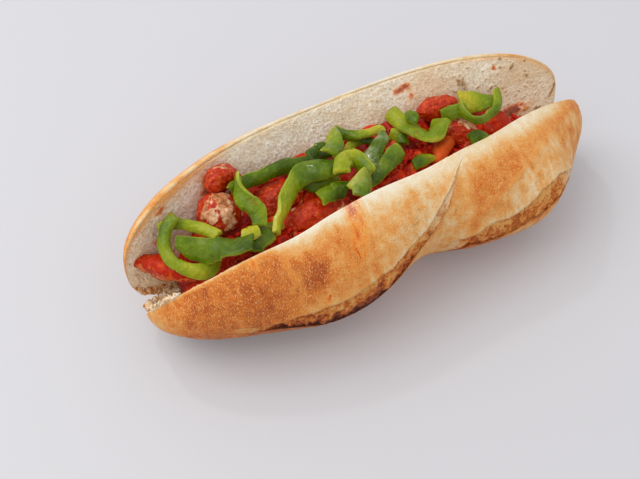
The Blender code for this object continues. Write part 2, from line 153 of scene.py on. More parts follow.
def rough(points, size, seed, octaves=4):
    """Noise on noise: each layer is half the size and half the height of the one before."""
    layers = [noise(points, size / 2 ** n, seed + n) / 2 ** n for n in range(octaves)]
    return sum(layers) / (2.0 - 0.5 ** (octaves - 1))


def drawn_out(points, share):
    """Points for noise whose spots are longer across the roll, by one over share."""
    return points * np.array([1.0, share, share])


def pits(across, up, size, seed, share, widest=0.62):
    """Holes from 0 at the rim to 1 in the middle: 1 - distance / radius, where one is near."""
    column, row = np.floor(across / size), np.floor(up / size)
    deepest = 0.0 * across
    zero = 0.0 * across
    for step_i, step_j in itertools.product((-1, 0, 1), repeat=2):
        i, j = column + step_i, row + step_j
        dx = across / size - i - scatter(i, j, zero, seed)
        dy = up / size - j - scatter(i, j, zero, seed + 1)
        turn = math.pi * scatter(i, j, zero, seed + 2)
        long = 1.0 + 0.9 * scatter(i, j, zero, seed + 3)
        along = dx * np.cos(turn) + dy * np.sin(turn)
        aside = dy * np.cos(turn) - dx * np.sin(turn)
        radius = widest * (0.25 + 0.75 * scatter(i, j, zero, seed + 4) ** 2)
        depth = 1.0 - np.hypot(along / long, aside) / radius
        deepest = np.maximum(deepest, np.where(scatter(i, j, zero, seed + 5) < share, depth, 0))
    return deepest


# %% Shapes of curves
def bump(s, centre, width):
    """A smooth hill of height 1 at centre."""
    return np.exp(-((s - centre) / width) ** 2)


def ramp(s, start, end):
    """Rises smoothly from 0 at start to 1 at end."""
    t = held((s - start) / (end - start))
    return t * t * (3.0 - 2.0 * t)


def taper(s, power):
    """Falls from 1 in the middle to 0 at both tips, on a superellipse."""
    return held(1.0 - np.abs(s) ** power) ** (1.0 / power)


def held(value):
    """The value, but no less than 0 and no more than 1."""
    return np.clip(value, 0.0, 1.0)


def xyz(*parts):
    """Points from their three coordinates, each a number or an array."""
    return np.stack(np.broadcast_arrays(*parts), -1)


def round_angles(count, first=0.0):
    """Evenly spaced angles of a full turn."""
    return (np.arange(count) + first) * 2 * math.pi / count


def through(knots, s):
    """A smooth line through (s, value) knots: cubics whose slopes are taken from neighbours."""
    x, y = np.array(knots, float).T
    slope = np.gradient(y, x)
    k = np.clip(np.searchsorted(x, s) - 1, 0, len(x) - 2)
    span = x[k + 1] - x[k]
    t = held((s - x[k]) / span)
    return (y[k] * (1 + 2 * t) * (1 - t) ** 2 + y[k + 1] * t * t * (3 - 2 * t)
            + span * (slope[k] * t * (1 - t) ** 2 - slope[k + 1] * t * t * (1 - t)))


print("noise runs from -1 to 1, for example", round(float(noise(np.ones((1, 3)), 0.3, 1)[0]), 3))


# %% [markdown]
# Every piece is a skin over rings: a section that changes along a line. Bread, sauce, sausage
# and pepper all fit that, so one function turns an array of rings into a mesh. It closes each
# end with quads across the last ring, which leaves no gap if the ring has an even number of
# points, and turns the skin the right way out by the sign of the volume it encloses.

# %% From rings to a mesh
def as_mesh(name, points, faces, marks):
    """Put arrays of points and four-sided faces into a mesh, with named numbers per point."""
    mesh = bpy.data.meshes.new(name)
    mesh.vertices.add(len(points))
    mesh.vertices.foreach_set("co", np.ascontiguousarray(points, np.float32).ravel())
    mesh.loops.add(faces.size)
    mesh.loops.foreach_set("vertex_index", faces.astype(np.int32).ravel())
    mesh.polygons.add(len(faces))
    mesh.polygons.foreach_set("loop_start", np.arange(0, faces.size, faces.shape[1], np.int32))
    mesh.polygons.foreach_set("use_smooth", np.ones(len(faces), bool))
    for mark, values in marks.items():
        layer = mesh.attributes.new(mark, "FLOAT", "POINT")
        layer.data.foreach_set("value", np.ascontiguousarray(values, np.float32).ravel())
    mesh.update(calc_edges=True)
    mesh.validate()
    return mesh


def ring_faces(count, around):
    """Quads between neighbouring closed rings: (ring, place) to the next of each."""
    ring, place = np.meshgrid(np.arange(count - 1), np.arange(around), indexing="ij")
    after = (place + 1) % around
    corners = (ring * around + place, ring * around + after,
               (ring + 1) * around + after, (ring + 1) * around + place)
    return np.stack(corners, -1).reshape(-1, 4)


def skin(rings, marks):
    """Points, quads and marks of a skin. Quads across each end join a ring's two sides."""
    count, around = rings.shape[:2]
    faces = ring_faces(count, around)
    half = around // 2
    for row in (0, count - 1):
        first = row * around
        k = np.arange(half - 1)
        cap = np.stack([first + k, first + k + 1, first + around - 2 - k,
                        first + around - 1 - k], -1)
        faces = np.concatenate([faces, cap[:, ::-1] if row == 0 else cap])
    points = rings.reshape(-1, 3)
    a, b, c, d = (points[faces[:, n]] for n in range(4))
    volume = (np.cross(b - a, c - a) * a).sum() + (np.cross(c - a, d - a) * a).sum()
    if volume < 0:
        faces = faces[:, ::-1]
    flat = {mark: np.broadcast_to(values, rings.shape[:2]).ravel()
            for mark, values in marks.items()}
    return points, faces, flat


def show(name, body, finish, slot, *nodes):
    """Make the piece, keep it inside the solids' box, hang it under the root and hide the solids it
    covers.
    """
    points, faces, marks = body
    mesh = as_mesh(name, np.clip(points, LOW, HIGH), faces, marks)
    piece = bpy.data.objects.new(name, mesh)
    piece.data.materials.append(finish)
    bpy.context.scene.collection.objects.link(piece)
    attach(piece, "root")
    if nodes:
        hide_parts(*nodes)
    print(name, "has", len(faces), "faces")
    return piece


# %% [markdown]
# A finish is a tree of nodes under one Principled shader. Written node by node it would be
# long, so a small class wraps an output: adding or multiplying two of them adds the Math
# node that does it. Colours are written as they look on a screen, from 0 to 255, and turned
# into the linear numbers that light needs.

# %% Shader tools
def screen(red, green, blue):
    """Linear colour of a screen colour given from 0 to 255, by the usual sRGB curve."""
    value = np.array([red, green, blue]) / 255.0
    linear = np.where(value <= 0.04045, value / 12.92, ((value + 0.055) / 1.055) ** 2.4)
    return (*(float(part) for part in linear), 1.0)


class Value:
    """An output of a node. Operators between values, or with numbers, add Math nodes."""

    def __init__(self, finish, socket):
        self.finish = finish
        self.socket = socket

    def math(self, operation, other, swapped=False):
        first, second = (other, self) if swapped else (self, other)
        return self.finish.node("ShaderNodeMath", {"operation": operation},
                                {0: first, 1: second})

    def __add__(self, other):
        return self.math("ADD", other)

    def __sub__(self, other):
        return self.math("SUBTRACT", other)

    def __rsub__(self, other):
        return self.math("SUBTRACT", other, True)

    def __mul__(self, other):
        return self.math("MULTIPLY", other)

    __radd__ = __add__
    __rmul__ = __mul__


class Finish:
    """A material: values and colours worked out by nodes feed one Principled shader."""

    def __init__(self, name):
        self.material = bpy.data.materials.new(name)
        self.material.use_nodes = True
        self.tree = self.material.node_tree
        self.shader = self.tree.nodes["Principled BSDF"]
        self.place = self.node("ShaderNodeTexCoord", out="Object")

    def node(self, kind, settings=None, values=None, out=0):
        """Add a node: its settings first, then the number or link of each socket."""
        node = self.tree.nodes.new(kind)
        for key, value in (settings or {}).items():
            if key == "stops":
                self.set_stops(node.color_ramp, value)
            else:
                setattr(node, key, value)
        for key, value in (values or {}).items():
            self.feed(node.inputs[key], value)
        return Value(self, node.outputs[out])

    def feed(self, target, value):
        """Link a value, or set a plain number or colour."""
        if isinstance(value, Value):
            self.tree.links.new(value.socket, target)
        else:
            target.default_value = value

    def set_stops(self, colour_ramp, stops):
        """Place the stops of a ramp: each is a position and a screen colour."""
        elements = colour_ramp.elements
        while len(elements) < len(stops):
            elements.new(0.5)
        for element, (position, *colour) in zip(elements, stops):
            element.position = position
            element.color = screen(*colour)

    def mark(self, name):
        """Numbers that the mesh carries at its points."""
        return self.node("ShaderNodeAttribute", {"attribute_name": name}, out="Fac")

    def grain(self, size, detail=2.0, warp=0.0):
        """Noise from about 0.2 to 0.8 with features of a size in metres."""
        return self.node("ShaderNodeTexNoise", None,
                         {"Vector": self.place, "Scale": 1.0 / size, "Detail": detail,
                          "Distortion": warp})

    def between(self, value, low, high):
        """Rises smoothly from 0 to 1 while value goes from low to high."""
        return self.node("ShaderNodeMapRange", {"interpolation_type": "SMOOTHSTEP"},
                         {0: value, 1: low, 2: high})

    def ramp(self, value, *stops):
        """A colour for each value from 0 to 1, given by stops."""
        return self.node("ShaderNodeValToRGB", {"stops": stops}, {0: value})

    def mix(self, share, first, second):
        """The second colour over the first, by a share from 0 to 1."""
        return self.node("ShaderNodeMix", {"data_type": "RGBA"},
                         {0: share, 6: first, 7: second}, 2)

    def done(self, colour, roughness, height=None, depth=None, **fixed):
        """Feed the shader. height, if given, lifts the surface by up to depth metres."""
        self.feed(self.shader.inputs["Base Color"], colour)
        self.feed(self.shader.inputs["Roughness"], roughness)
        if height is not None:
            normal = self.node("ShaderNodeBump", None,
                               {"Strength": 1.0, "Distance": depth, "Height": height})
            self.feed(self.shader.inputs["Normal"], normal)
        for name, value in fixed.items():
            self.shader.inputs[name.replace("_", " ")].default_value = value
        print("finish", self.material.name, "has", len(self.tree.nodes), "nodes")
        return self.material


# %% [markdown]
# The roll is cut open like a book. Each half has a flat cut face and a domed crust, and its
# section at s, from -1 at the left tip to 1 at the right one, is known from a few sizes: how
# far the face leans, how wide it is there and how deep the dome is. These are the formulas of
# the solid, so the visible bread lies where the solid does, apart from what the oven lifted.

# %% The roll's measures
HALF_LENGTH = 0.150
FACE_WIDTH = 0.084
HINGE_HEIGHT = 0.004
FROM_HINGE = np.array([0.00125, 0.00207, 0.0])
DOME_FULLNESS = 0.76


def top_lean(s):
    """Degrees from upright: leans out more to the left, with a small extra at three places."""
    hills = 1.9 * bump(s, 0.36, 0.17) + 1.6 * bump(s, 0.08, 0.14) + 1.2 * bump(s, -0.46, 0.12)
    return 20.5 - 8.0 * s + 3.0 * s * s + hills


def top_depth(s):
    """Two lobes with a waist between them, closing at the tips."""
    lobes = (0.0045 * bump(s, -0.33, 0.22) + 0.0185 * bump(s, 0.63, 0.22)
             + 0.0022 * bump(s, 0.36, 0.15))
    return taper(s, 2.1) * (0.0455 - 0.0010 * s + lobes - 0.0090 * bump(s, 0.05, 0.15))


def bottom_lean(s):
    """Degrees from upright: laid back, less so towards the tips."""
    return 38.5 + 2.5 * s - 29.0 * s * s + 1.5 * bump(s, 0.25, 0.25)


def bottom_depth(s):
    """An even slab that closes at the tips."""
    return 0.0270 * taper(s, 2.6)


TOP = {"side": -1, "lean": top_lean, "depth": top_depth, "round": 2.45, "tip": 0.33, "x": 0.0}
BOTTOM = {"side": 1, "lean": bottom_lean, "depth": bottom_depth, "round": 2.8, "tip": 0.41,
          "x": -0.0025}


def hinge_bend(s):
    """How far the hinge swings to +Y along the roll: a slope and a shallow curve."""
    return 0.0060 * s + 0.0065 * s * s


def face_edges(half, s):
    """Free edge, hinge edge, the way up the cut face and the way out through the crust."""
    lean = np.radians(half["lean"](s))
    along = xyz(0.0, half["side"] * np.sin(lean), np.cos(lean))
    out = xyz(0.0, half["side"] * np.cos(lean), -np.sin(lean))
    hinge = xyz(s * HALF_LENGTH + half["x"], hinge_bend(s), HINGE_HEIGHT) + FROM_HINGE
    width = taper(s, half["round"])
    free = hinge + along * ((half["tip"] + (1 - half["tip"]) * width) * FACE_WIDTH)[..., None]
    low = hinge + along * (half["tip"] * (1.0 - width) * FACE_WIDTH)[..., None]
    return free, low, along, out


def dome_point(half, s, angle, inset=0.0):
    """Crust: middle + up * half width * cos(angle) + out * depth * sin(angle)^fullness."""
    free, low, along, out = face_edges(half, s)
    width = np.linalg.norm(free - low, axis=-1) / 2
    width = np.maximum(width - inset, 0.2 * width)
    depth = half["depth"](s)
    depth = np.maximum(depth - inset, 0.2 * depth)
    arch = np.sin(np.clip(angle, 0.0, math.pi)) ** DOME_FULLNESS
    return ((free + low) / 2 + along * (width * np.cos(angle))[..., None]
            + out * (depth * arch)[..., None])


def face_point(half, s, share, inset=0.0):
    """Cut face: from the hinge edge at share 0 to the free edge at share 1."""
    free, low, along = face_edges(half, s)[:3]
    width = np.linalg.norm(free - low, axis=-1)
    edge = np.minimum(inset, 0.3 * width)
    return low + along * (edge + (width - 2 * edge) * share)[..., None]


def unit(vectors):
    """Each vector divided by its length."""
    return vectors / np.maximum(np.linalg.norm(vectors, axis=-1, keepdims=True), 1e-12)


def moved(points, toward_s, toward_row, lift, slide=0.0):
    """Points lifted along the surface's normal and slid along its rows."""
    normal = unit(np.cross(toward_s, toward_row))
    return points + normal * lift[..., None] + unit(toward_row) * np.asarray(slide)[..., None]


LAST_RING = 0.9985
SLOPE_STEP = 0.004


def columns(count):
    """Places along the roll, closer together near the tips: 1.25 t - 0.25 t^5."""
    t = np.linspace(-LAST_RING, LAST_RING, count)
    return 1.25 * t - 0.25 * t ** 5


# %% [markdown]
# The crust of the top half is the face of this sandwich. In the oven it split along two
# scores: the upper crust lifted into a lip, and a band of torn crumb shows below it. Colour
# could hint at that, but only shape gives the shadow under a lip. So the rows of the surface
# follow the edges of the scores, and at each lip one row rides up and out while the next row
# tucks back under it. A painted shade, a darker colour in the crack just under each lip,
# deepens that shadow.

# %% Lines on the top crust
LEFT_LIP = ((-1, 38), (-0.85, 50), (-0.66, 58), (-0.48, 51), (-0.34, 50), (-0.18, 48),
            (-0.11, 44), (0.03, 35), (0.07, 28), (0.15, 14), (0.22, 4), (0.30, 3), (1, 3))
LEFT_RIM = ((-1, 42), (-0.85, 58), (-0.66, 74), (-0.50, 80), (-0.34, 86), (-0.20, 82),
            (-0.05, 66), (0.03, 53), (0.09, 38), (0.15, 20), (0.20, 8), (0.35, 5), (1, 5))
RIGHT_LIP = ((-1, 100), (-0.5, 106), (-0.1, 104), (0.05, 94), (0.13, 76), (0.28, 56),
             (0.40, 53), (0.52, 44), (0.64, 42), (0.72, 54), (0.80, 80), (1, 96))
RIGHT_RIM = ((-1, 106), (-0.5, 112), (-0.1, 110), (0.09, 104), (0.22, 92), (0.39, 82),
             (0.51, 72), (0.62, 66), (0.70, 66), (0.80, 86), (1, 102))
CREASE = ((-1, 30), (0.00, 80), (0.16, 62), (0.30, 40), (0.44, 27), (0.58, 18), (0.72, 13), (1, 9))
DEGREE = 0.00085


def along_only(s, size, seed, octaves=3):
    """Noise that changes along the roll only."""
    return rough(xyz(s * HALF_LENGTH, 0.31, 0.0), size, seed, octaves)


# %% Rows of the top crust
def top_crust_rows(s):
    """Angle, lift, slide, torn, dark and pale for each row of the skin, in five bands.

    At d mm above a lip: lift = 1.9 exp(-d / 24) + 0.8 curl exp(-d / 4) mm, and the slide over
    the edge is 1.3 curl exp(-d / 2.5) mm. At d mm below it the torn bread lies 1.9 exp(-d / 1.6)
    + 0.1 mm deep and slides 1.3 exp(-d / 1.5) mm back under the lip. Pale is how much lighter
    baked crust is; on torn bread it runs from 0 at the lip to 1 at the far rim. Dark is painted
    shade in the crack under a lip: exp(-d / 1.1) on torn bread, and 0.35 on the lip's edge row.
    """
    left = ramp(s, -0.80, -0.56) * (1.0 - 0.45 * ramp(s, -0.02, 0.12) - 0.55 * ramp(s, 0.12, 0.25))
    right = ramp(s, 0.10, 0.22) * (1.0 - ramp(s, 0.62, 0.80))
    jags = 1.1 * along_only(s, 0.0030, 16, 2)
    lip_1 = np.maximum(through(LEFT_LIP, s), 2.5)
    lip_1 = lip_1 + left * (1.8 * along_only(s, 0.011, 11, 4) + jags)
    rim_1 = through(LEFT_RIM, s) + left * 3.0 * along_only(s, 0.013, 12)
    lip_2 = through(RIGHT_LIP, s) + right * (2.8 * along_only(s, 0.010, 13, 4) + jags)
    rim_2 = through(RIGHT_RIM, s) + right * 2.6 * along_only(s, 0.009, 14)
    rim_1 = np.maximum(rim_1, lip_1 + 0.8)
    lip_2 = np.maximum(lip_2, rim_1 + 2.0)
    rim_2 = np.maximum(rim_2, lip_2 + 0.8)
    curl = 1.0 + 0.9 * along_only(s, 0.016, 15)
    rows = []

    def lip(gone, share):
        """Rise towards a lip that is gone millimetres further on."""
        return share * (1.9 * np.exp(-gone / 24) + curl * 0.8 * np.exp(-gone / 4)) * MM

    def over(gone, share):
        """Slide over the edge of a lip."""
        return share * curl * 1.3 * np.exp(-gone / 2.5) * MM

    def under(past, share):
        """Drop below a lip that is past millimetres back."""
        return -share * (1.9 * np.exp(-past / 1.6) + 0.1) * MM

    def band(start, end, count, top_share=0.0, low_share=None, torn=None, gather=1.0):
        """Rows from one line to the next: baked crust, or torn bread where torn is given."""
        angle = start + (end - start) * np.linspace(0.0, 1.0, count)[:, None] ** gather
        past = (angle - start) * DEGREE / MM
        if torn is not None:
            lift = under(past, torn)
            if torn is left:
                lift = lift + (1.0 - left) * lip((lip_2 - angle) * DEGREE / MM, right)
            slide = -torn * 1.3 * np.exp(-past / 1.5) * MM
            low = np.linspace(0.0, 1.0, count)[:, None] * torn
            # The fifth value, dark, is painted shade in the crack under the lip.
            rows.append((angle, lift, slide, torn + 0.0 * angle,
                         torn * np.exp(-past / 1.1), low))
            return
        gone = (end - angle) * DEGREE / MM
        open_below = low_share is not None
        low_share = low_share if open_below else 0.0
        lift = lip(gone, low_share) + top_share * 1.0 * MM * np.exp(-past / 3.0)
        if low_share is left:
            lift = lift + (1.0 - left) * lip((lip_2 - angle) * DEGREE / MM, right)
        slide = over(gone, low_share) - top_share * 0.7 * MM * np.exp(-past / 1.2)
        rows.append((angle, lift, slide, 0.0 * angle, 0.0 * angle,
                     0.13 * low_share * np.exp(-gone / 2.5)
                     - 0.28 * top_share * np.exp(-past / 5.0)))
        if open_below:
            edge = angle[-1:]
            # The lip's edge row gets 0.35 of painted shade as its dark value.
            rows.append((edge, lift[-1:] - low_share * 1.0 * MM, slide[-1:] * 0.9,
                         0.6 * low_share + 0.0 * edge, 0.35 * low_share + 0.0 * edge,
                         0.2 * low_share + 0.0 * edge))

    band(0.0 * s, lip_1, 54, low_share=left, gather=1.3)
    band(lip_1, rim_1, 25, torn=left)
    band(rim_1, lip_2, 40, top_share=left, low_share=right)
    band(lip_2, rim_2, 19, torn=right)
    band(rim_2, 180.0 + 0.0 * s, 23, top_share=right)
    return [np.concatenate([row[part] for row in rows]) for part in range(6)]


# browner and paler spots: place in s, angle, width in s, reach in degrees, amount, then the
# share of the amount that is even and the share that follows the streaks
BROWN_SPOTS = ((-0.47, 24, 0.08, 12, 0.13, 1.0, 1.0), (-0.26, 28, 0.07, 18, 0.10, 0.5, 2.0),
               (-0.42, 44, 0.10, 12, -0.08, 1, 0), (-0.45, 4, 0.07, 6, -0.10, 1, 0),
               (-0.10, 34, 0.09, 14, -0.05, 1, 0), (0.52, 40, 0.2, 14, -0.07, 1, 0),
               (0.02, 6, 0.14, 8, 0.05, 1, 0))
# spots of soaked oil: place in s, angle, width in s, reach in degrees, amount
OIL_SPOTS = ((-0.235, 3, 0.045, 10, 0.80), (-0.255, 16, 0.050, 11, 0.75),
             (-0.290, 28, 0.035, 8, 0.60), (-0.62, 3, 0.050, 5, 0.60),
             (-0.52, 22, 0.055, 12, 0.60), (-0.43, 45, 0.020, 5, 0.80))


def patch(s, angle, centre, degrees, width, reach):
    """A soft spot around a place on the crust."""
    return bump(s, centre, width) * bump(angle, degrees, reach)


def top_bake(s, angle, points):
    """How brown the top crust is, from 0, cream, to 1, dark: spots and bands, then noise."""
    streaks = rough(drawn_out(points, 0.25), 0.006, 21, 3)
    bake = through(((-1, 0.46), (-0.90, 0.67), (-0.70, 0.69), (-0.50, 0.67), (-0.30, 0.56),
                    (-0.10, 0.44), (0.10, 0.41), (0.25, 0.48), (0.50, 0.44), (0.75, 0.49),
                    (1, 0.50)), s)
    reach = 5.5 + 4.0 * ramp(s, -0.40, -0.05) - 3.0 * ramp(s, 0.25, 0.45)
    bake = bake - 0.34 * bump(angle, 0.0, reach) * ramp(s, -0.62, -0.40) * (1 - ramp(s, 0.7, 0.9))
    for *spot, amount, even, streaky in BROWN_SPOTS:
        bake = bake + amount * patch(s, angle, *spot) * (even + streaky * streaks)
    crease = through(CREASE, s)
    above = crease - angle
    bake = bake + (0.12 * bump(angle, 0.60 * crease, 0.5 * crease) * ramp(above, -1.5, 1.5)
                   + 0.005 * ramp(-above, 0.0, 3.0)) * ramp(s, 0.12, 0.24)
    fibres = rough(drawn_out(points, 0.3), 0.0026, 23, 2)
    bake = bake + fibres * (0.09 + 0.12 * ramp(-above, 0.0, 3.0) * ramp(s, 0.12, 0.24))
    bake = bake + 0.30 * ramp(angle, 88, 112)
    return bake + 0.05 * rough(points, 0.022, 22) + 0.05 * streaks


# place in s at the start and at the end, angles from and to, width in s, strength
SAUCE_RUNS = ((-0.275, -0.285, 20, 33, 0.0060, 0.9), (-0.245, -0.250, 20, 30, 0.0050, 0.8),
              (-0.420, -0.425, 38, 48, 0.0070, 0.9), (-0.440, -0.440, 41, 50, 0.0055, 0.8),
              (-0.230, -0.235, 7, 17, 0.0040, 0.4), (-0.330, -0.335, 30, 40, 0.0045, 0.5),
              (-0.500, -0.505, 26, 33, 0.0045, 0.5), (-0.300, -0.300, 34, 40, 0.0040, 0.5))


def sauce_runs(s, angle, points):
    """Orange oil soaked in along the edge, and thin runs of sauce over it, from 0 to 1."""
    across = drawn_out(points, 0.35)
    soaked = sum(amount * patch(s, angle, *spot) for *spot, amount in OIL_SPOTS)
    soaked = 0.80 * soaked * (0.75 + 0.8 * rough(points, 0.006, 43)
                              + 0.9 * rough(across, 0.0022, 47, 2))
    runs = 0.0 * s
    for first, last, top, low, width, strength in SAUCE_RUNS:
        share = held((angle - top) / (low - top))
        middle = first + (last - first) * share + 0.010 * noise(points, 0.006, 44)
        inside = bump(angle, (top + low) / 2, (low - top) / 1.7)
        runs = np.maximum(runs, strength * inside * bump(s, middle, width))
    return held(soaked + 0.9 * runs * (0.6 + 1.3 * rough(points, 0.0025, 45)))


# %% The top crust
LINING = 1.4 * MM
LINING_ROWS = 7


def crust_rings(half, s, angle, lift, slide):
    """Outer rows, then a lining back to the start: points shaped (along, around, 3)."""
    place = np.broadcast_to(s, angle.shape)
    turn = np.radians(angle)
    base = dome_point(half, place, turn)
    toward_s = (dome_point(half, place + SLOPE_STEP, turn)
                - dome_point(half, place - SLOPE_STEP, turn))
    toward_row = (dome_point(half, place, np.minimum(turn + SLOPE_STEP, math.pi))
                  - dome_point(half, place, np.maximum(turn - SLOPE_STEP, 0.0)))
    outer = moved(base, half["side"] * toward_s, toward_row, lift, slide)
    back = np.radians(np.linspace(180.0, 0.0, LINING_ROWS))[:, None] + 0.0 * s
    lining = dome_point(half, np.broadcast_to(s, back.shape), back, LINING)
    return np.concatenate([outer, lining]).swapaxes(0, 1)


def for_lining(values, inside=0.0):
    """Marks for the outer rows, extended over the lining's rows."""
    rest = np.full((LINING_ROWS,) + values.shape[1:], inside)
    return np.concatenate([values, rest]).T


def build_top_crust(finish, count=560):
    s = columns(count)
    angle, lift, slide, torn, dark, pale = top_crust_rows(s)
    place = np.broadcast_to(s, angle.shape)
    spot = dome_point(TOP, place, np.radians(angle))
    edge = np.sin(np.radians(np.clip(angle, 0, 180))) ** 0.5
    wrinkled = patch(place, angle, -0.05, 28, 0.18, 22) + patch(place, angle, 0.42, 36, 0.30, 18)
    cracks = np.abs(noise(spot, 0.008, 31) + 0.7 * noise(spot, 0.003, 32))
    creases = held(1.0 - cracks / 0.09) * ramp(noise(spot, 0.013, 38), -0.1, 0.5)
    creases = creases * held(wrinkled) * (1.0 - torn)
    lift = lift + edge * (0.9 * rough(spot, 0.030, 33) + 0.30 * rough(spot, 0.006, 34)) * MM
    lift = lift - 0.60 * creases * MM + 0.25 * held(wrinkled) * noise(spot, 0.004, 35) * MM
    relief = (1.1 * rough(spot, 0.005, 36) + 0.6 * noise(spot, 0.0016, 37)
              + 1.1 * rough(drawn_out(spot, 0.3), 0.0032, 39, 2))
    lift = lift + torn * relief * MM
    above = through(CREASE, s) - angle
    fold = np.exp(-np.maximum(above, 0.0) / 7.0) * np.exp(-np.maximum(-above, 0.0) / 1.5)
    lift = lift + 0.9 * fold * ramp(place, 0.12, 0.26) * (1.0 - torn) * MM * edge
    bake = top_bake(place, angle, spot) - pale * (1.0 - torn)
    burnt = ramp(pale + 0.8 * rough(spot, 0.005, 42), 0.60, 1.1) * (1.0 - ramp(place, -0.3, 0.0))
    here = 1.0 - ramp(place, -0.20, 0.02)
    # On torn bread the colour browns where the relief sinks (-0.24 relief): painted shade in its dips.
    bake = bake + torn * (0.19 + 0.13 * here + (0.24 + 0.38 * here) * pale ** 3 + 0.28 * burnt
                          + 0.36 * rough(spot, 0.004, 46) - 0.24 * relief - bake)
    bake = bake - 0.40 * np.exp(-angle / 1.1) * ramp(-place, -0.1, 0.3)
    stain = sauce_runs(place, angle, spot)
    # dark is painted shade: in the cracks under the lips, plus 0.22 in each crease.
    body = skin(crust_rings(TOP, s, angle, lift, slide), {
        "bake": for_lining(bake, 0.3), "torn": for_lining(torn, 1.0),
        "dark": for_lining(held(dark + 0.22 * creases)), "stain": for_lining(stain)})
    return show("top_crust", body, finish, "baked_crust", "roll")


# %% [markdown]
# Crust isn't one brown. Flour and steam leave the high spots pale and matte, the oven
# browns what stood proudest, and a fine grain of blisters covers all of it. The mesh carries
# how brown and how torn each point is, and how dark: a painted shade in the cracks under the
# lips and in creases. The finish adds the grain between points.

# %% Crust finish
def crust_finish():
    finish = Finish("baked_crust")
    fine = finish.grain(0.0009, 3.0)
    middle = finish.grain(0.005, 4.0, 0.3)
    dashes = finish.node("ShaderNodeTexNoise", None, {
        "Vector": finish.node("ShaderNodeVectorMath", {"operation": "MULTIPLY"},
                              {0: finish.place, 1: (1.0, 0.35, 0.35)}),
        "Scale": 2300.0, "Detail": 1.5})
    tone = finish.mark("bake") + (middle - 0.5) * 0.36 + (fine - 0.5) * 0.30
    colour = finish.ramp(tone, (0.0, 238, 226, 202), (0.25, 231, 200, 152),
                         (0.45, 225, 158, 82), (0.62, 210, 116, 38),
                         (0.80, 170, 74, 18), (1.0, 110, 46, 14))
    brown = finish.between(finish.mark("bake"), 0.35, 0.60)
    specks = finish.between(dashes, 0.50, 0.72) * (brown * 0.44 + 0.10)
    colour = finish.mix(specks, colour, screen(242, 198, 128))
    crumbs = finish.ramp(finish.mark("bake") + (fine - 0.5) * 1.1 + (middle - 0.5) * 0.6,
                         (0.08, 228, 168, 90), (0.32, 206, 116, 38),
                         (0.58, 160, 68, 15), (0.88, 84, 34, 11))
    colour = finish.mix(finish.mark("torn"), colour, crumbs)
    stain = finish.between(finish.mark("stain"), 0.05, 0.7) * finish.between(fine, 0.2, 0.5)
    sauce = finish.ramp(finish.mark("stain") + (fine - 0.5) * 0.5,
                        (0.3, 238, 172, 82), (0.65, 232, 132, 42),
                        (0.95, 200, 66, 18))
    colour = finish.mix(stain * 0.8, colour, sauce)
    # Painted shade: where dark is high the colour turns to a deep brown.
    colour = finish.mix(finish.mark("dark") * 0.85, colour, screen(74, 38, 20))
    height = fine * 0.6 + middle * 0.5 + dashes * 0.35
    return finish.done(colour, middle * 0.2 + 0.46, height, 0.0009, Specular_IOR_Level=0.22)


CRUST = crust_finish()
build_top_crust(CRUST)


# %% [markdown]
# The bottom half lies back with its cut face to the light. Crumb is a foam: the knife leaves
# thin walls standing around open pores of many sizes. Here each size of pore is one layer of
# pits, sunk into a fine grid, so that every pore has a real rim and a shadow. Few rows are
# spent on the part that lies under the filling.

# %% The cut faces
CRUST_THICKNESS = 0.6 * MM
BACK_ROWS = 5
TIP = 0.9995


def crumb_rings(half, s, share, lift):
    """The cut face row by row, then a plain back under the crust, shaped (along, around, 3)."""
    place = np.broadcast_to(s, share.shape)
    base = face_point(half, place, share, CRUST_THICKNESS)
    ahead, behind = (np.clip(place + step, -TIP, TIP) for step in (SLOPE_STEP, -SLOPE_STEP))
    toward_s = (face_point(half, ahead, share, CRUST_THICKNESS)
                - face_point(half, behind, share, CRUST_THICKNESS))
    toward_row = face_edges(half, place)[2]
    front = moved(base, -half["side"] * toward_s, toward_row, lift)
    angle = np.linspace(0.0, math.pi, BACK_ROWS + 2)[1:-1, None] + 0.0 * s
    back = dome_point(half, np.broadcast_to(s, angle.shape), angle, 5.0 * CRUST_THICKNESS)
    return np.concatenate([front, back]).swapaxes(0, 1)


def crumb_marks(values):
    """Marks of the face rows, extended over the plain back."""
    return np.concatenate([values, np.zeros((BACK_ROWS,) + values.shape[1:])]).T


def pore_layers(points, across, up, coarse):
    """Depth in metres of fine, middle and large pores, their rims bent by noise."""
    bend = np.stack([noise(points, 0.003, seed) for seed in (51, 52)]) * 0.0007
    across, up = across + bend[0], up + bend[1]
    fine = np.maximum(pits(across, up, 0.0013, 53, 0.55), pits(across, up, 0.0019, 57, 0.45))
    middle = pits(across, up, 0.0032, 61, 0.50, 0.46) * (0.4 + 0.6 * coarse)
    large = pits(across, up, 0.0080, 71, 0.30, 0.40) * coarse
    return 0.32 * fine ** 0.8 * MM, 0.75 * middle ** 0.8 * MM, 1.3 * large ** 0.8 * MM


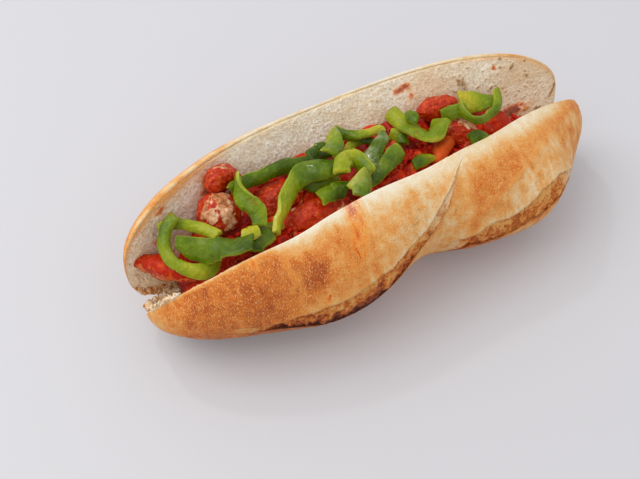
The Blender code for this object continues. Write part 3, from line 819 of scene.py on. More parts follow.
def build_crumb(name, half, finish, count, rows, stains, hidden=0.24):
    """One cut face: slow waves, pores, and an edge that sinks a little into the crust.

    The share of the height that the filling hides gets only a few rows.
    """
    s = columns(count)
    share = np.concatenate([np.linspace(0.0, hidden, 14)[:-1],
                            np.linspace(hidden, 0.997, rows - 1), [1.0]])[:, None] + 0.0 * s
    place = np.broadcast_to(s, share.shape)
    spot = face_point(half, place, share, CRUST_THICKNESS)
    free, low = face_edges(half, s)[:2]
    tall = np.linalg.norm(free - low, axis=-1)
    coarse = 0.08 + 0.92 * ramp(place, 0.35, 0.75) + 0.3 * ramp(-place, 0.6, 0.9)
    fine, middle, large = pore_layers(spot, place * HALF_LENGTH, share * tall, coarse)
    edge = np.minimum(1.0, np.minimum(share, 1.0 - share) * tall / (2.0 * MM))
    tip = held((1.0 - np.abs(place)) / 0.02)
    lift = (1.1 * rough(spot, 0.038, 81) + 0.35 * rough(spot, 0.007, 82)) * MM
    depth = (fine + middle + large) * (0.35 + 0.65 * edge)
    lift = (lift - depth) * tip * (0.3 + 0.7 * edge) + 0.40 * (1.0 - edge) * MM
    pore = held(depth / (1.1 * MM))
    tone = rough(spot, 0.020, 83)
    from_edge = (1.0 - share) * tall / MM
    reach = 1.3 + 3.3 * ramp(-place, 0.35, 0.75) + 1.2 * ramp(place, 0.55, 0.85)
    rim = np.exp(-(from_edge / (reach * (1.0 + 0.6 * rough(spot, 0.012, 85)))) ** 2)
    golden = ramp(-place, 0.35, 0.80) + 0.7 * ramp(place, 0.35, 0.75) + 0.0 * share
    stain = sum(amount * bump(place, centre, width) * bump(share, height, spread)
                for centre, width, height, spread, amount in stains)
    stain = stain * held(0.7 + 1.4 * rough(spot, 0.004, 84)) + 0.0 * share
    body = skin(crumb_rings(half, s, share, lift), {
        "pore": crumb_marks(pore), "tone": crumb_marks(tone), "rim": crumb_marks(rim),
        "stain": crumb_marks(stain), "golden": crumb_marks(golden)})
    return show(name, body, finish, "bread_crumb", "roll")


# centre and width along s, height and reach as shares of the face, strength
BOTTOM_STAINS = ((0.325, 0.026, 0.90, 0.030, 1.2), (0.290, 0.020, 0.885, 0.022, 1.1),
                 (0.345, 0.012, 0.82, 0.030, 1.0), (0.715, 0.011, 0.885, 0.022, 1.1),
                 (-0.11, 0.007, 0.83, 0.020, 0.8), (-0.80, 0.028, 0.79, 0.030, 1.3),
                 (-0.81, 0.022, 0.91, 0.030, 0.9), (-0.60, 0.040, 0.79, 0.060, 1.2),
                 (-0.59, 0.035, 0.89, 0.045, 1.0), (-0.86, 0.020, 0.66, 0.050, 0.6),
                 (0.80, 0.060, 0.40, 0.060, 1.8))
TOP_STAINS = ((-0.45, 0.10, 0.50, 0.12, 0.7), (0.20, 0.12, 0.55, 0.10, 0.6))


# %% Crumb finish
def crumb_finish():
    finish = Finish("bread_crumb")
    fine = finish.grain(0.0007, 3.0)
    specks = finish.grain(0.0016, 3.0, 0.8)
    middle = finish.grain(0.006, 3.0)
    wall = finish.mix(finish.between(finish.mark("tone") + (middle - 0.5), -0.4, 0.5),
                      screen(250, 240, 222), screen(236, 212, 178))
    wall = finish.mix(finish.between(specks, 0.44, 0.62) * 0.6, wall, screen(214, 184, 144))
    baked = finish.ramp(finish.mark("golden") + (middle - 0.5) * 0.4 + (fine - 0.5) * 0.6,
                        (0.2, 244, 216, 158), (0.8, 230, 152, 70))
    wall = finish.mix(finish.mark("rim"), wall, baked)
    # Painted shade: the deeper a pore, the browner and darker its colour, on top of the real pit.
    hollow = finish.ramp(finish.mark("pore") + (fine - 0.5) * 0.5,
                         (0.0, 222, 200, 170), (0.5, 194, 162, 124),
                         (1.0, 160, 122, 84))
    colour = finish.mix(finish.between(finish.mark("pore") + (fine - 0.5) * 0.3, 0.15, 0.7),
                        wall, hollow)
    stain = finish.mark("stain") + (fine - 0.5) * 0.5
    sauce = finish.ramp(stain, (0.2, 240, 168, 92), (0.55, 228, 108, 34),
                        (1.0, 150, 44, 18))
    colour = finish.mix(finish.between(stain, 0.05, 0.6) * 0.85, colour, sauce)
    return finish.done(colour, 0.9, fine * 0.7 + specks, 0.0005, Specular_IOR_Level=0.15)


CRUMB = crumb_finish()
build_crumb("bottom_crumb", BOTTOM, CRUMB, count=640, rows=128, stains=BOTTOM_STAINS)
build_crumb("top_crumb", TOP, CRUMB, count=420, rows=90, stains=TOP_STAINS)


# %% [markdown]
# The crust of the bottom half never opened. It is one smooth shell, browned evenly where it
# stood on the baking sheet, and it shows from the cut side only as a thin golden rim.

# %% The bottom crust
def build_bottom_crust(finish, count=480, rows=96):
    s = columns(count)
    angle = np.linspace(0.0, 180.0, rows)[:, None] + 0.0 * s
    place = np.broadcast_to(s, angle.shape)
    spot = dome_point(BOTTOM, place, np.radians(angle))
    edge = np.sin(np.radians(angle)) ** 0.5
    lift = edge * (0.9 * rough(spot, 0.034, 91) + 0.30 * rough(spot, 0.007, 92)) * MM
    bake = 0.56 + 0.20 * rough(spot, 0.030, 93) + 0.12 * bump(angle, 90, 45)
    pale = bump(angle, 0.0, 12.0) * (0.05 + 0.95 * ramp(place, -0.70, -0.30)
                                     * (1.0 - ramp(place, 0.30, 0.8)))
    bake = bake - 0.40 * pale - bump(angle, 0.0, 14.0) * (0.10 + 0.35 * rough(spot, 0.006, 94))
    body = skin(
        crust_rings(BOTTOM, s, angle, lift, 0.0 * lift),
        {"bake": for_lining(bake, 0.20), "torn": for_lining(0.0 * bake),
         "dark": for_lining(0.0 * bake), "stain": for_lining(0.0 * bake)})
    return show("bottom_crust", body, finish, "baked_crust", "roll")


build_bottom_crust(CRUST)


# %% [markdown]
# Under the filling lies a bed of tomato sauce. Cooked down, it isn't liquid any more: it sits
# in soft heaps, full of pulp and crumbled sausage. The bed is one heaving surface between
# the two cut faces, and several hundred lumps sunk into it give it its broken look. Each
# lump is a ball of a few dozen faces with a shape of its own.

# %% The bed of sauce
def sauce_level(s, across):
    """Height of the sauce from the top half at 0 to the bottom half at 1, with soft swells."""
    drop = 0.016 * ramp(s, 0.55, 0.85) + 0.012 * ramp(-s, 0.62, 0.86)
    swell = 0.0016 * np.sin(9.0 * s + 4.0 * across) + 0.0012 * np.sin(23.0 * s - 5.0 * across)
    level = 0.047 - 0.006 * s - drop + 0.0040 * across
    return level + swell * np.sin(math.pi * np.clip(across, 0.02, 0.98))


def between_faces(s, across, level, gap=0.0):
    """The place at a height, from the top half's cut face at 0 to the bottom half's at 1."""
    rise = level - HINGE_HEIGHT
    near = hinge_bend(s) - rise * np.tan(np.radians(top_lean(s))) + gap
    far = hinge_bend(s) + rise * np.tan(np.radians(bottom_lean(s))) - gap
    return xyz(s * HALF_LENGTH, near + (far - near) * across, level) + FROM_HINGE


def build_sauce(finish, count=460, rows=110):
    s = np.linspace(-0.85, 0.84, count)[:, None]
    across = np.linspace(0.0, 1.0, rows)[None, :]
    fade = held(1.0 - np.abs((s + 0.005) / 0.845) ** 6) ** 0.5
    low = 0.019 + 0.0 * s
    level = low + (sauce_level(s, across) - low) * (0.25 + 0.75 * fade)
    top = between_faces(s, across, level, 0.0006)
    ridges = 1.0 - np.abs(noise(top, 0.0055, 101)) * 2.2
    folds = 1.0 - np.abs(noise(top, 0.0026, 102)) * 2.2
    heap = rough(top, 0.013, 103, 2) * 1.9 + ridges * 1.2 + folds * 0.22
    heap = heap + noise(top, 0.0013, 104) * 0.10
    top[..., 2] += heap * MM * fade
    under = between_faces(s, np.array([[0.95, 0.5, 0.05]]), low, 0.0008)
    under = np.concatenate([under, (under[:, 2:] + top[:, :1]) / 2], 1)
    rings = np.concatenate([top, under], 1)
    wet = np.concatenate([heap, np.zeros((len(heap), 4))], 1)
    body = skin(rings, {"heap": wet})
    return show("sauce_bed", body, finish, "tomato_sauce", "sauce")


def lump_rings(count, seed, squash=(0.6, 1.0), rings=5, around=8):
    """Balls of unit size: a few rings of points, each point moved in or out at random."""
    rng = np.random.default_rng(seed)
    up = np.linspace(0.12, math.pi - 0.12, rings)[None, :, None]
    about = round_angles(around)
    ball = xyz(np.sin(up) * np.cos(about), np.sin(up) * np.sin(about), np.cos(up))
    ball = ball * (1.0 + 0.22 * rng.uniform(-1, 1, (count, rings, around, 1)))
    ball = ball * rng.uniform(squash[0], squash[1], (count, 1, 1, 3))
    turn = np.linalg.qr(rng.normal(size=(count, 3, 3)))[0]
    turn = turn * np.linalg.det(turn)[:, None, None]
    return np.einsum("nij,nrkj->nrki", turn, ball)


def many(bodies, marks):
    """Join many small ring bodies, shaped (body, ring, around, 3), into one mesh."""
    count, rings, around = bodies.shape[:3]
    one = skin(bodies[0], {})[1]
    faces = (one[None] + (np.arange(count) * rings * around)[:, None, None]).reshape(-1, 4)
    flat = {mark: np.repeat(values, rings * around) for mark, values in marks.items()}
    return bodies.reshape(-1, 3), faces, flat


def build_lumps(name, finish, count, seed, sizes, spread=(-0.83, 0.82), band=(0.03, 0.97)):
    """Lumps partly sunk into the sauce. kind, from 0 to 1, says what each is made of."""
    rng = np.random.default_rng(seed)
    s = rng.uniform(*spread, count)
    across = rng.uniform(*band, count)
    size = sizes[0] + (sizes[1] - sizes[0]) * rng.uniform(0, 1, count) ** 2.2
    place = between_faces(s, across, sauce_level(s, across), 0.0012)
    place[:, 2] += size * rng.uniform(-0.25, 0.55, count)
    bodies = lump_rings(count, seed + 1) * size[:, None, None, None]
    bodies = bodies + place[:, None, None, :]
    body = many(bodies, {"kind": rng.uniform(0, 1, count)})
    return show(name, body, finish, "tomato_sauce")


def build_shreds(finish, count=90, seed=141, rings=11, around=10):
    """Long bent scraps of tomato and meat: radius * sqrt(1 - t^2) along a bent line."""
    rng = np.random.default_rng(seed)
    t = np.linspace(-0.97, 0.97, rings)[None, :]
    about = round_angles(around)
    size = (0.0022 + 0.0050 * rng.uniform(0, 1, (count, 1)) ** 2, rng.uniform(0.24, 0.42, (count, 1)))
    heading, bend = rng.uniform(0, math.pi, (count, 1)), rng.uniform(-0.9, 0.9, (count, 1))
    s, across = rng.uniform(-0.80, 0.80, (count, 1)), rng.uniform(0.05, 0.95, (count, 1))
    middle = between_faces(s, across, sauce_level(s, across), 0.002)[:, 0, :]
    middle[:, 2] += rng.uniform(0.0, 0.0022, count)
    turn = heading + bend * t
    line = middle[:, None, :] + size[0][..., None] * xyz(
        t * np.cos(turn), t * np.sin(turn), 0.25 * np.sin(3.0 * t + heading))
    radius = (size[0] * size[1] * np.sqrt(1.0 - t ** 2))[..., None]
    radius = radius * (1.0 + 0.18 * rng.uniform(-1, 1, (count, rings, around)))
    side = xyz(-np.sin(turn), np.cos(turn), 0.0)[:, :, None, :]
    up = np.array([0.0, 0.0, 1.0])
    bodies = (line[:, :, None, :] + side * (radius * np.cos(about))[..., None]
              + up * (radius * np.sin(about))[..., None] * 0.8)
    body = many(bodies, {"kind": rng.uniform(0, 0.75, count)})
    return show("sauce_shreds", body, finish, "tomato_sauce")


# %% Sauce finish
def sauce_finish():
    finish = Finish("tomato_sauce")
    fine = finish.grain(0.0008, 3.0)
    middle = finish.grain(0.0035, 3.0, 0.4)
    rise = finish.between(finish.mark("heap"), -1.6, 3.2)
    # Painted shade and painted highlight: the red follows the heap, deep red where the bed dips and
    # pale orange on its crests.
    red = finish.ramp(rise + (middle - 0.5) * 0.6 + (fine - 0.5) * 0.3,
                      (0.10, 140, 16, 1), (0.28, 186, 28, 2),
                      (0.48, 208, 38, 3), (0.70, 220, 60, 10),
                      (0.92, 228, 106, 34))
    return finish.done(red, fine * 0.2 + 0.10, fine * 0.4 + middle, 0.0009,
                       Specular_IOR_Level=0.20)


def lump_finish():
    finish = Finish("sauce_lumps")
    fine = finish.grain(0.0007, 3.0)
    kind = finish.mark("kind")
    made_of = finish.ramp(kind, (0.0, 186, 24, 3), (0.40, 212, 40, 5),
                          (0.58, 218, 76, 24), (0.72, 196, 94, 58),
                          (0.86, 220, 100, 30), (1.0, 160, 28, 6))
    colour = finish.mix(finish.between(fine, 0.48, 0.68), made_of, screen(188, 26, 3))
    return finish.done(colour, fine * 0.2 + 0.10, fine, 0.0005, Specular_IOR_Level=0.20)


SAUCE = sauce_finish()
LUMPS = lump_finish()
build_sauce(SAUCE)
build_lumps("sauce_lumps", LUMPS, count=160, seed=111, sizes=(0.0009, 0.0024))
build_lumps("sauce_crumbs", LUMPS, count=260, seed=121, sizes=(0.0004, 0.0009))
build_lumps("ground_meat", LUMPS, count=260, seed=131, sizes=(0.0007, 0.0014),
            spread=(-0.06, 0.13), band=(0.02, 0.36))
build_shreds(LUMPS)


# %% [markdown]
# The sausage was cut into chunks and simmered in the sauce. Coarse ground meat shows as
# small humps with pits between them, and sauce lies in the hollows, while the humps stay
# pink or grey. A chunk is an ellipsoid with shallow waves, as its solid is, though some were
# made a little larger or moved. The humps and pits are noise along its outward direction.

# %% Chunks
# name, centre, radii, turn and tilt in degrees, waviness, share left bare of sauce
SAUSAGES = (
    ("sausage_1", (-0.094, 0.010, 0.057), (0.0132, 0.0125, 0.0125), 20, 15, 0.03, 0.48),
    ("sausage_2", (-0.086, 0.0236, 0.0695), (0.0108, 0.0070, 0.0086), 20, 10, 0.15, 0.04),
    ("sausage_3", (-0.058, 0.010, 0.050), (0.0170, 0.0110, 0.0100), 15, 0, 0.05, 0.02),
    ("sausage_4", (-0.044, -0.007, 0.046), (0.0240, 0.0090, 0.0105), 4, 0, 0.04, 0.16),
    ("sausage_5", (0.066, 0.011, 0.048), (0.0120, 0.0095, 0.0090), -30, 10, 0.06, 0.50),
    ("sausage_6", (0.060, 0.029, 0.056), (0.0150, 0.0070, 0.0075), -4, 5, 0.05, 0.08),
)
TOMATOES = (
    ("tomato_1", (-0.1322, -0.0030, 0.046), (0.0205, 0.0062, 0.0058), -44, -4, 0.05, 0.30),
    ("tomato_2", (0.047, 0.001, 0.051), (0.0108, 0.0052, 0.0052), 35, 0, 0.08, 1.60),
    ("tomato_3", (0.092, 0.010, 0.044), (0.0110, 0.0090, 0.0065), 10, 0, 0.06, 0.10),
)


def chunk_rings(centre, radii, turn, tilt, wave, relief, count=70, around=90):
    """An ellipsoid with waves; relief(place) lifts it along its outward direction."""
    t = np.linspace(0.02, math.pi - 0.02, count)[:, None]
    a = round_angles(around)
    ball = xyz(np.cos(t), np.sin(t) * np.cos(a), np.sin(t) * np.sin(a))
    x, y, z = np.moveaxis(ball, -1, 0)
    swell = 1.0 + wave * np.sin(3.1 * x + 1.7 * y) * np.cos(2.3 * z + 1.1 * x)
    body = ball * swell[..., None] * np.array(radii)
    body = body + unit(ball / np.array(radii)) * relief(body)[..., None]
    x, y, z = np.moveaxis(body, -1, 0)
    turn, tilt = math.radians(turn), math.radians(tilt)
    x, z = x * math.cos(tilt) + z * math.sin(tilt), z * math.cos(tilt) - x * math.sin(tilt)
    x, y = x * math.cos(turn) - y * math.sin(turn), x * math.sin(turn) + y * math.cos(turn)
    return xyz(x, y, z) + np.array(centre) + FROM_HINGE


def meat_relief(seed):
    """Humps of ground meat, finer grain on them, and pits where fat has melted out."""
    def relief(body):
        humps = rough(body, 0.0060, seed, 3) * 1.3 + noise(body, 0.0015, seed + 5) * 0.30
        humps = humps + (0.5 - np.abs(noise(body, 0.0034, seed + 7))) * 0.9
        holes = held(noise(body, 0.0030, seed + 6) - 0.45) * 1.6
        return (humps - holes) * MM
    return relief


def tomato_relief(seed):
    """Soft folds, nearly smooth."""
    def relief(body):
        creases = 0.5 - np.abs(noise(body, 0.0075, seed + 6))
        return (rough(body, 0.010, seed, 2) * 1.6 + creases * 1.2
                + noise(body, 0.0022, seed + 5) * 0.15) * MM
    return relief


def build_chunk(row, seed, relief, finish, slot):
    name, centre, radii, turn, tilt, wave, bare = row
    rings = chunk_rings(centre, radii, turn, tilt, wave, relief(seed))
    cover = rough(rings, 0.009, seed + 11, 3)
    height = (rings[..., 2] - rings[..., 2].min()) / np.ptp(rings[..., 2])
    clean = held((cover * 1.4 + height * 0.9 - 1.25 + bare * 1.3) * 3.0)
    body = skin(rings, {"clean": clean, "tone": rough(rings, 0.006, seed + 12),
                        "height": height})
    return show(name, body, finish, slot, name)


# %% Meat and tomato finishes
def meat_finish():
    finish = Finish("sausage_meat")
    fine = finish.grain(0.0007, 3.0)
    middle = finish.grain(0.0026, 4.0, 0.6)
    meat = finish.ramp(finish.mark("tone") * 0.4 + middle * 0.9 + (fine - 0.5) * 0.3,
                       (0.20, 122, 76, 40), (0.40, 192, 116, 68),
                       (0.55, 220, 160, 116), (0.75, 234, 200, 162))
    sauce = finish.ramp(middle * 0.8 + fine * 0.4 - 0.1, (0.22, 130, 20, 3),
                        (0.38, 168, 32, 4), (0.56, 196, 54, 8),
                        (0.76, 222, 118, 44))
    share = finish.between(finish.mark("clean") + (fine - 0.5) * 1.2 + (middle - 0.5) * 1.8,
                           0.35, 0.65)
    return finish.done(finish.mix(share, sauce, meat), fine * 0.2 + 0.08,
                       fine * 0.4 + middle, 0.0009, Specular_IOR_Level=0.24)


def tomato_finish():
    finish = Finish("cooked_tomato")
    fine = finish.grain(0.0012, 2.0)
    middle = finish.grain(0.0045, 4.0, 0.4)
    # Painted shade: the red turns near black towards height 0, the bottom of each piece, below a pale
    # orange band.
    red = finish.ramp(finish.mark("height") * 0.6 + (middle - 0.5) * 1.2 + (fine - 0.5) * 0.2,
                      (0.0, 70, 12, 4), (0.22, 206, 104, 50),
                      (0.36, 166, 30, 2), (0.60, 182, 38, 0),
                      (0.88, 210, 76, 10))
    pulp = finish.between(finish.mark("clean") + (middle - 0.5) * 1.4 + (fine - 0.5) * 0.6,
                          0.4, 0.8)
    colour = finish.mix(pulp * 0.8, red, screen(204, 88, 26))
    return finish.done(colour, middle * 0.3 + 0.08, middle + fine * 0.3, 0.0012,
                       Specular_IOR_Level=0.12)


MEAT = meat_finish()
TOMATO = tomato_finish()
for number, row in enumerate(SAUSAGES):
    build_chunk(row, 200 + 20 * number, meat_relief, MEAT, "sausage_meat")
for number, row in enumerate(TOMATOES):
    build_chunk(row, 400 + 20 * number, tomato_relief, TOMATO, "cooked_tomato")


# %% [markdown]
# The green pepper was cut into strips and fried until it went soft. A strip is a piece of the
# pepper's wall: shiny skin on the outside, paler flesh at the cut sides and within, and it
# curls as it cooks. Each one is a cupped section carried along the route of its solid, or in
# a few cases a slightly moved one. Its height is read from the solid itself, so that the
# strips lie over each other as they should.

# %% Pepper routes
# Green at each end is partly the strip's own shade, partly painted light and shade: lit faces are
# given lighter greens, shaded and edge-on ones darker.
# number, width, roll at each end, start, heading, arcs (length, turn), green at each end, sauce
STRIPS = (
    (1, 0.0060, (35, 20), (-0.127, 0.012), 8, ((0.015, -62), (0.020, -6)), 0.64, 0.84, 0.0),
    (2, 0.0060, (15, 35), (-0.119, 0.010), -165, ((0.024, 100), (0.014, 30), (0.018, 130)),
     0.50, 0.80, 0.1),
    (3, 0.0140, (15, 10), (-0.077, -0.017), -157, ((0.018, -20),), 0.42, 0.36, 0.1),
    (4, 0.0120, (48, 10), (-0.123, -0.005), -30, ((0.028, -18), (0.013, 60)),
     0.46, 0.30, 0.0),
    (5, 0.0080, (0, 0), (-0.090, -0.018), 0, ((0.007, 0),), 0.90, 0.90, 0.0),
    (6, 0.0080, (0, 10), (-0.076, -0.011), 12, ((0.009, 0),), 0.70, 0.70, 0.0),
    (7, 0.0075, (55, 20), (-0.085, 0.011), 60, ((0.022, -58), (0.028, 0), (0.011, -45)),
     0.46, 0.36, 0.0),
    (8, 0.0090, (85, 10), (-0.079, 0.012), -122, ((0.013, 60), (0.014, -50)),
     0.62, 0.56, 0.1),
    (9, 0.0090, (30, 60), (-0.033, 0.019), 40, ((0.017, -42),), 0.28, 0.30, 0.0),
    (10, 0.0090, (15, -20), (-0.0135, 0.029), -97, ((0.019, -55),), 0.76, 0.62, 0.0),
    (11, 0.0070, (35, 70), (-0.040, 0.011), -80, ((0.021, 125),), 0.40, 0.70, 0.1),
    (12, 0.0090, (10, 35), (-0.039, -0.007), 16, ((0.015, -35),), 0.52, 0.32, 0.0),
    (13, 0.0050, (60, 30), (-0.006, 0.023), 50, ((0.018, -95),), 0.78, 0.36, 0.1),
    (14, 0.0060, (55, -10), (-0.006, 0.035), -70, ((0.018, 72), (0.009, 8)), 0.40, 0.92, 0.0),
    (15, 0.0120, (12, -12), (0.015, 0.019), -145, ((0.027, 18),), 0.44, 0.46, 0.0),
    (16, 0.0090, (-35, 0), (0.017, 0.004), -155, ((0.014, 10), (0.014, -8)),
     0.52, 0.40, 0.0),
    (17, 0.0080, (25, 15), (0.025, 0.024), -35, ((0.010, -65),), 0.80, 0.40, 0.0),
    (18, 0.0105, (80, 10), (-0.072, -0.018), 57, ((0.035, -22), (0.012, -55), (0.017, 22)),
     0.78, 0.42, 0.1),
    (19, 0.0090, (-5, 60), (-0.024, -0.002), 68, ((0.008, -20), (0.013, -125), (0.010, -15)),
     0.80, 0.60, 0.0),
    (20, 0.0130, (8, -8), (-0.0172, -0.0085), -85, ((0.0118, -35),), 0.80, 0.50, 0.0),
    (21, 0.0100, (20, -22), (0.031, 0.035), -88, ((0.027, 24), (0.010, 95), (0.010, 22)),
     0.70, 0.62, 0.15),
    (22, 0.0070, (10, 10), (0.035, 0.024), -72, ((0.006, 0),), 0.50, 0.50, 0.1),
    (23, 0.0090, (40, 10), (0.057, 0.018), -3, ((0.013, -24),), 0.45, 0.50, 0.1),
    (24, 0.0140, (50, 20), (0.076, 0.027), -28, ((0.019, 20),), 0.86, 0.60, 0.0),
    (25, 0.0050, (60, 15), (0.066, 0.015), -100, ((0.016, 110), (0.013, 14), (0.015, 62)),
     0.50, 0.55, 0.1),
    (26, 0.0080, (10, 35), (0.0640, -0.0035), 35, ((0.012, -95),), 0.40, 0.46, 0.1),
    (27, 0.0080, (15, 0), (0.025, -0.004), 28, ((0.011, -22),), 0.40, 0.78, 0.35),
)
# how wide the start and end are beside the middle, and how pointed, from 0 to 1
ENDS = {1: (1.0, 1.1, 0.5, 0.2), 2: (1.05, 1.35, 0.2, 0.0),
        3: (1.3, 0.9, 0.2, 0.9), 4: (1.0, 0.9, 0.8, 0.2),
        7: (1.0, 1.1, 0.5, 0.1), 8: (0.75, 0.95, 0.8, 0.1),
        10: (1.0, 1.1, 0.3, 0.2), 12: (1.0, 1.0, 0.1, 0.1),
        15: (0.7, 1.0, 0.8, 0.3), 16: (1.15, 0.8, 0.1, 0.7),
        18: (0.7, 1.1, 0.1, 0.2), 19: (1.0, 1.1, 0.2, 0.2),
        20: (1.05, 0.85, 0.0, 0.1), 21: (1.0, 1.2, 0.2, 0.3),
        24: (1.1, 0.9, 0.1, 0.5), 26: (0.9, 0.8, 0.4, 0.4),
        27: (0.8, 0.8, 0.2, 0.4)}
# Painted sheen: a pale grey-olive over the skin of these strips, a painted reflection of the window.
PAINTED_SHEEN = {15: 1.0, 20: 0.3, 10: 0.2}
STRIP_STEP = 0.0060
FINENESS = 16
EASINGS = 60
WALL = 0.0031


def strip_name(number):
    """The name of a strip and of its solid."""
    return f"pepper_{number:02d}"


def strip_route(start, heading, arcs):
    """Closely and evenly spaced points along arcs that follow each other without a kink."""
    lengths = np.concatenate([[0.0], np.cumsum([length for length, turn in arcs])])
    turns = np.concatenate([[0.0], np.cumsum([turn for length, turn in arcs])])
    count = max(3, int(round(lengths[-1] / STRIP_STEP)))
    fine = np.linspace(0.0, lengths[-1], count * FINENESS + 1)
    middle = (fine[:-1] + fine[1:]) / 2
    angle = np.radians(heading + np.interp(middle, lengths, turns))
    run = np.stack([np.cos(angle), np.sin(angle)], -1) * fine[1]
    return np.array(start) + np.concatenate([np.zeros((1, 2)), np.cumsum(run, axis=0)])


def heights_from_solid(name, route, width):
    """Middle height of the solid at every FINENESS-th point, eased in between."""
    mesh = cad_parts[name].data
    points = np.zeros(len(mesh.vertices) * 3, np.float32)
    mesh.vertices.foreach_get("co", points)
    points = points.reshape(-1, 3).astype(float)
    run = unit(np.gradient(route, axis=0))
    levels = []
    for place, ahead in zip(route[::FINENESS], run[::FINENESS]):
        offset = points[:, :2] - place - FROM_HINGE[:2]
        along = np.abs(offset @ ahead)
        aside = np.abs(offset @ np.array([-ahead[1], ahead[0]]))
        near = points[(along < 0.0016) & (aside < width * 0.7 + 0.0015), 2]
        levels.append((near.min() + near.max()) / 2 if len(near) else np.nan)
    levels = np.array(levels)
    known = ~np.isnan(levels)
    stations = np.arange(len(levels)) * float(FINENESS)
    line = np.interp(np.arange(len(route)), stations[known], levels[known])
    for _ in range(EASINGS):
        line[1:-1] = (line[:-2] + 2 * line[1:-1] + line[2:]) / 4
    return line


# %% Pepper strips
def strip_section(width, wall, cup, crest, around=48):
    """A flat bar with crisp corners, bent to a roof whose crest wanders from side to side.

    x = w/2 cos^0.3, y = wall/2 sin^0.3 + cup w (1 - sqrt(v^2 + 0.02)), v = distance to crest
    """
    a = round_angles(around, 0.5)
    across = np.sign(np.cos(a)) * np.abs(np.cos(a)) ** 0.3
    v = (across - crest[:, None]) / (1.0 + np.abs(crest[:, None]))
    y = wall[:, None] / 2 * np.sign(np.sin(a)) * np.abs(np.sin(a)) ** 0.3
    return (width[:, None] / 2 * across,
            y + (cup * width)[:, None] * (1.0 - np.sqrt(v ** 2 + 0.02)), a)


def strip_rings(row, seed):
    """The section carried along the route, twisted about it, its ends cut on the slant."""
    number, width, (roll, last_roll), start, heading, arcs = row[:6]
    route = strip_route(start, heading, arcs)
    levels = heights_from_solid(strip_name(number), route, width)
    path = np.column_stack([route + FROM_HINGE[:2], levels])
    more = np.linspace(0.0, 0.0018, 8)[1:, None]
    first, last = unit(path[0] - path[6]), unit(path[-1] - path[-7])
    path = np.concatenate([path[0] + first * more[::-1], path, path[-1] + last * more])
    length = np.linalg.norm(np.diff(path, axis=0), axis=1)
    along = np.concatenate([[0.0], np.cumsum(length)])
    share = along / along[-1]
    spare = xyz(along, float(seed), 0.0)
    ahead = unit(np.gradient(path, axis=0))
    side = unit(np.cross(np.array([0.0, 0.0, 1.0]), ahead))
    up = np.cross(ahead, side)
    angle = np.radians(roll + (last_roll - roll) * ramp(share, 0.1, 0.9)
                       + 22.0 * rough(spare, 0.013, seed, 2))
    side, up = (side * np.cos(angle)[:, None] + up * np.sin(angle)[:, None],
                up * np.cos(angle)[:, None] - side * np.sin(angle)[:, None])
    from_end = np.minimum(along, along[-1] - along)
    luck = [float(scatter(np.array(seed), np.array(n), np.array(0), 7)) for n in range(4)]
    wide_start, wide_end, *sharp = ENDS.get(number, (1.0, 1.0, luck[0] ** 1.5, luck[1] ** 1.5))
    pointed = np.where(share < 0.5, sharp[0], sharp[1])
    close = held(from_end / (0.7 * width)) ** 0.7
    tip = np.sqrt(1.0 - (1.0 - held(from_end / 0.0009)) ** 2)
    wide = width * (1.0 + 0.18 * rough(spare, 0.011, seed + 1, 2)) * (
        1.06 - 0.6 * pointed * (1.0 - close))
    wide = wide * (1.0 + (wide_start - 1.0) * (1.0 - ramp(share, 0.0, 0.6))
                   + (wide_end - 1.0) * ramp(share, 0.4, 0.9))
    thick = WALL * (0.85 + 0.25 * rough(spare, 0.012, seed + 2, 2))
    x, y, a = strip_section(wide * (0.75 + 0.25 * tip), thick * (0.2 + 0.8 * tip),
                            0.36 + 0.22 * rough(spare, 0.014, seed + 3, 2),
                            0.9 * rough(spare, 0.018, seed + 8, 2))
    x = x + ((width - wide) * np.where(share < 0.5, 0.4, -0.4))[:, None]
    slant = np.where(share < 0.5, luck[2] - 0.5, luck[3] - 0.5) * 1.4 * np.exp(-from_end / 0.003)
    rings = (path[:, None, :] + side[:, None, :] * x[..., None] + up[:, None, :] * y[..., None]
             + ahead[:, None, :] * (x * slant[:, None])[..., None])
    wrinkle = rough(rings, 0.0065, seed + 4, 2) * 0.40 + noise(rings, 0.0016, seed + 5) * 0.05
    out = unit(side[:, None, :] * np.cos(a)[None, :, None] * 0.5
               + up[:, None, :] * np.sin(a)[None, :, None])
    return rings + out * (wrinkle * tip[:, None])[..., None] * MM, a, share


def build_strip(row, seed, finish):
    green_start, green_end, sauce = row[6:]
    rings, a, share = strip_rings(row, seed)
    flesh = held((0.60 - np.sin(a)) / 0.25)[None, :] + 0.0 * share[:, None]
    tip = np.exp(-np.minimum(share, 1 - share) * 18.0)[:, None]
    # Painted light and shade in part: the green of each end follows how lit that part of the strip is.
    green = (green_start + (green_end - green_start) * ramp(share, 0.1, 0.9))[:, None]
    green = green + 0.20 * rough(rings, 0.010, seed + 6, 2) + 0.10 * tip
    stain = held(rough(rings, 0.007, seed + 7) * 1.6 + sauce * 2.2 - 0.75)
    waxy = PAINTED_SHEEN.get(row[0], 0.0) * ramp(rough(rings, 0.008, seed + 9, 2), -0.3, 0.25)
    body = skin(rings, {"green": green, "flesh": flesh, "stain": stain,
                        "waxy": waxy * (1.0 - flesh)})
    name = strip_name(row[0])
    return show(name, body, finish, "green_pepper", name)


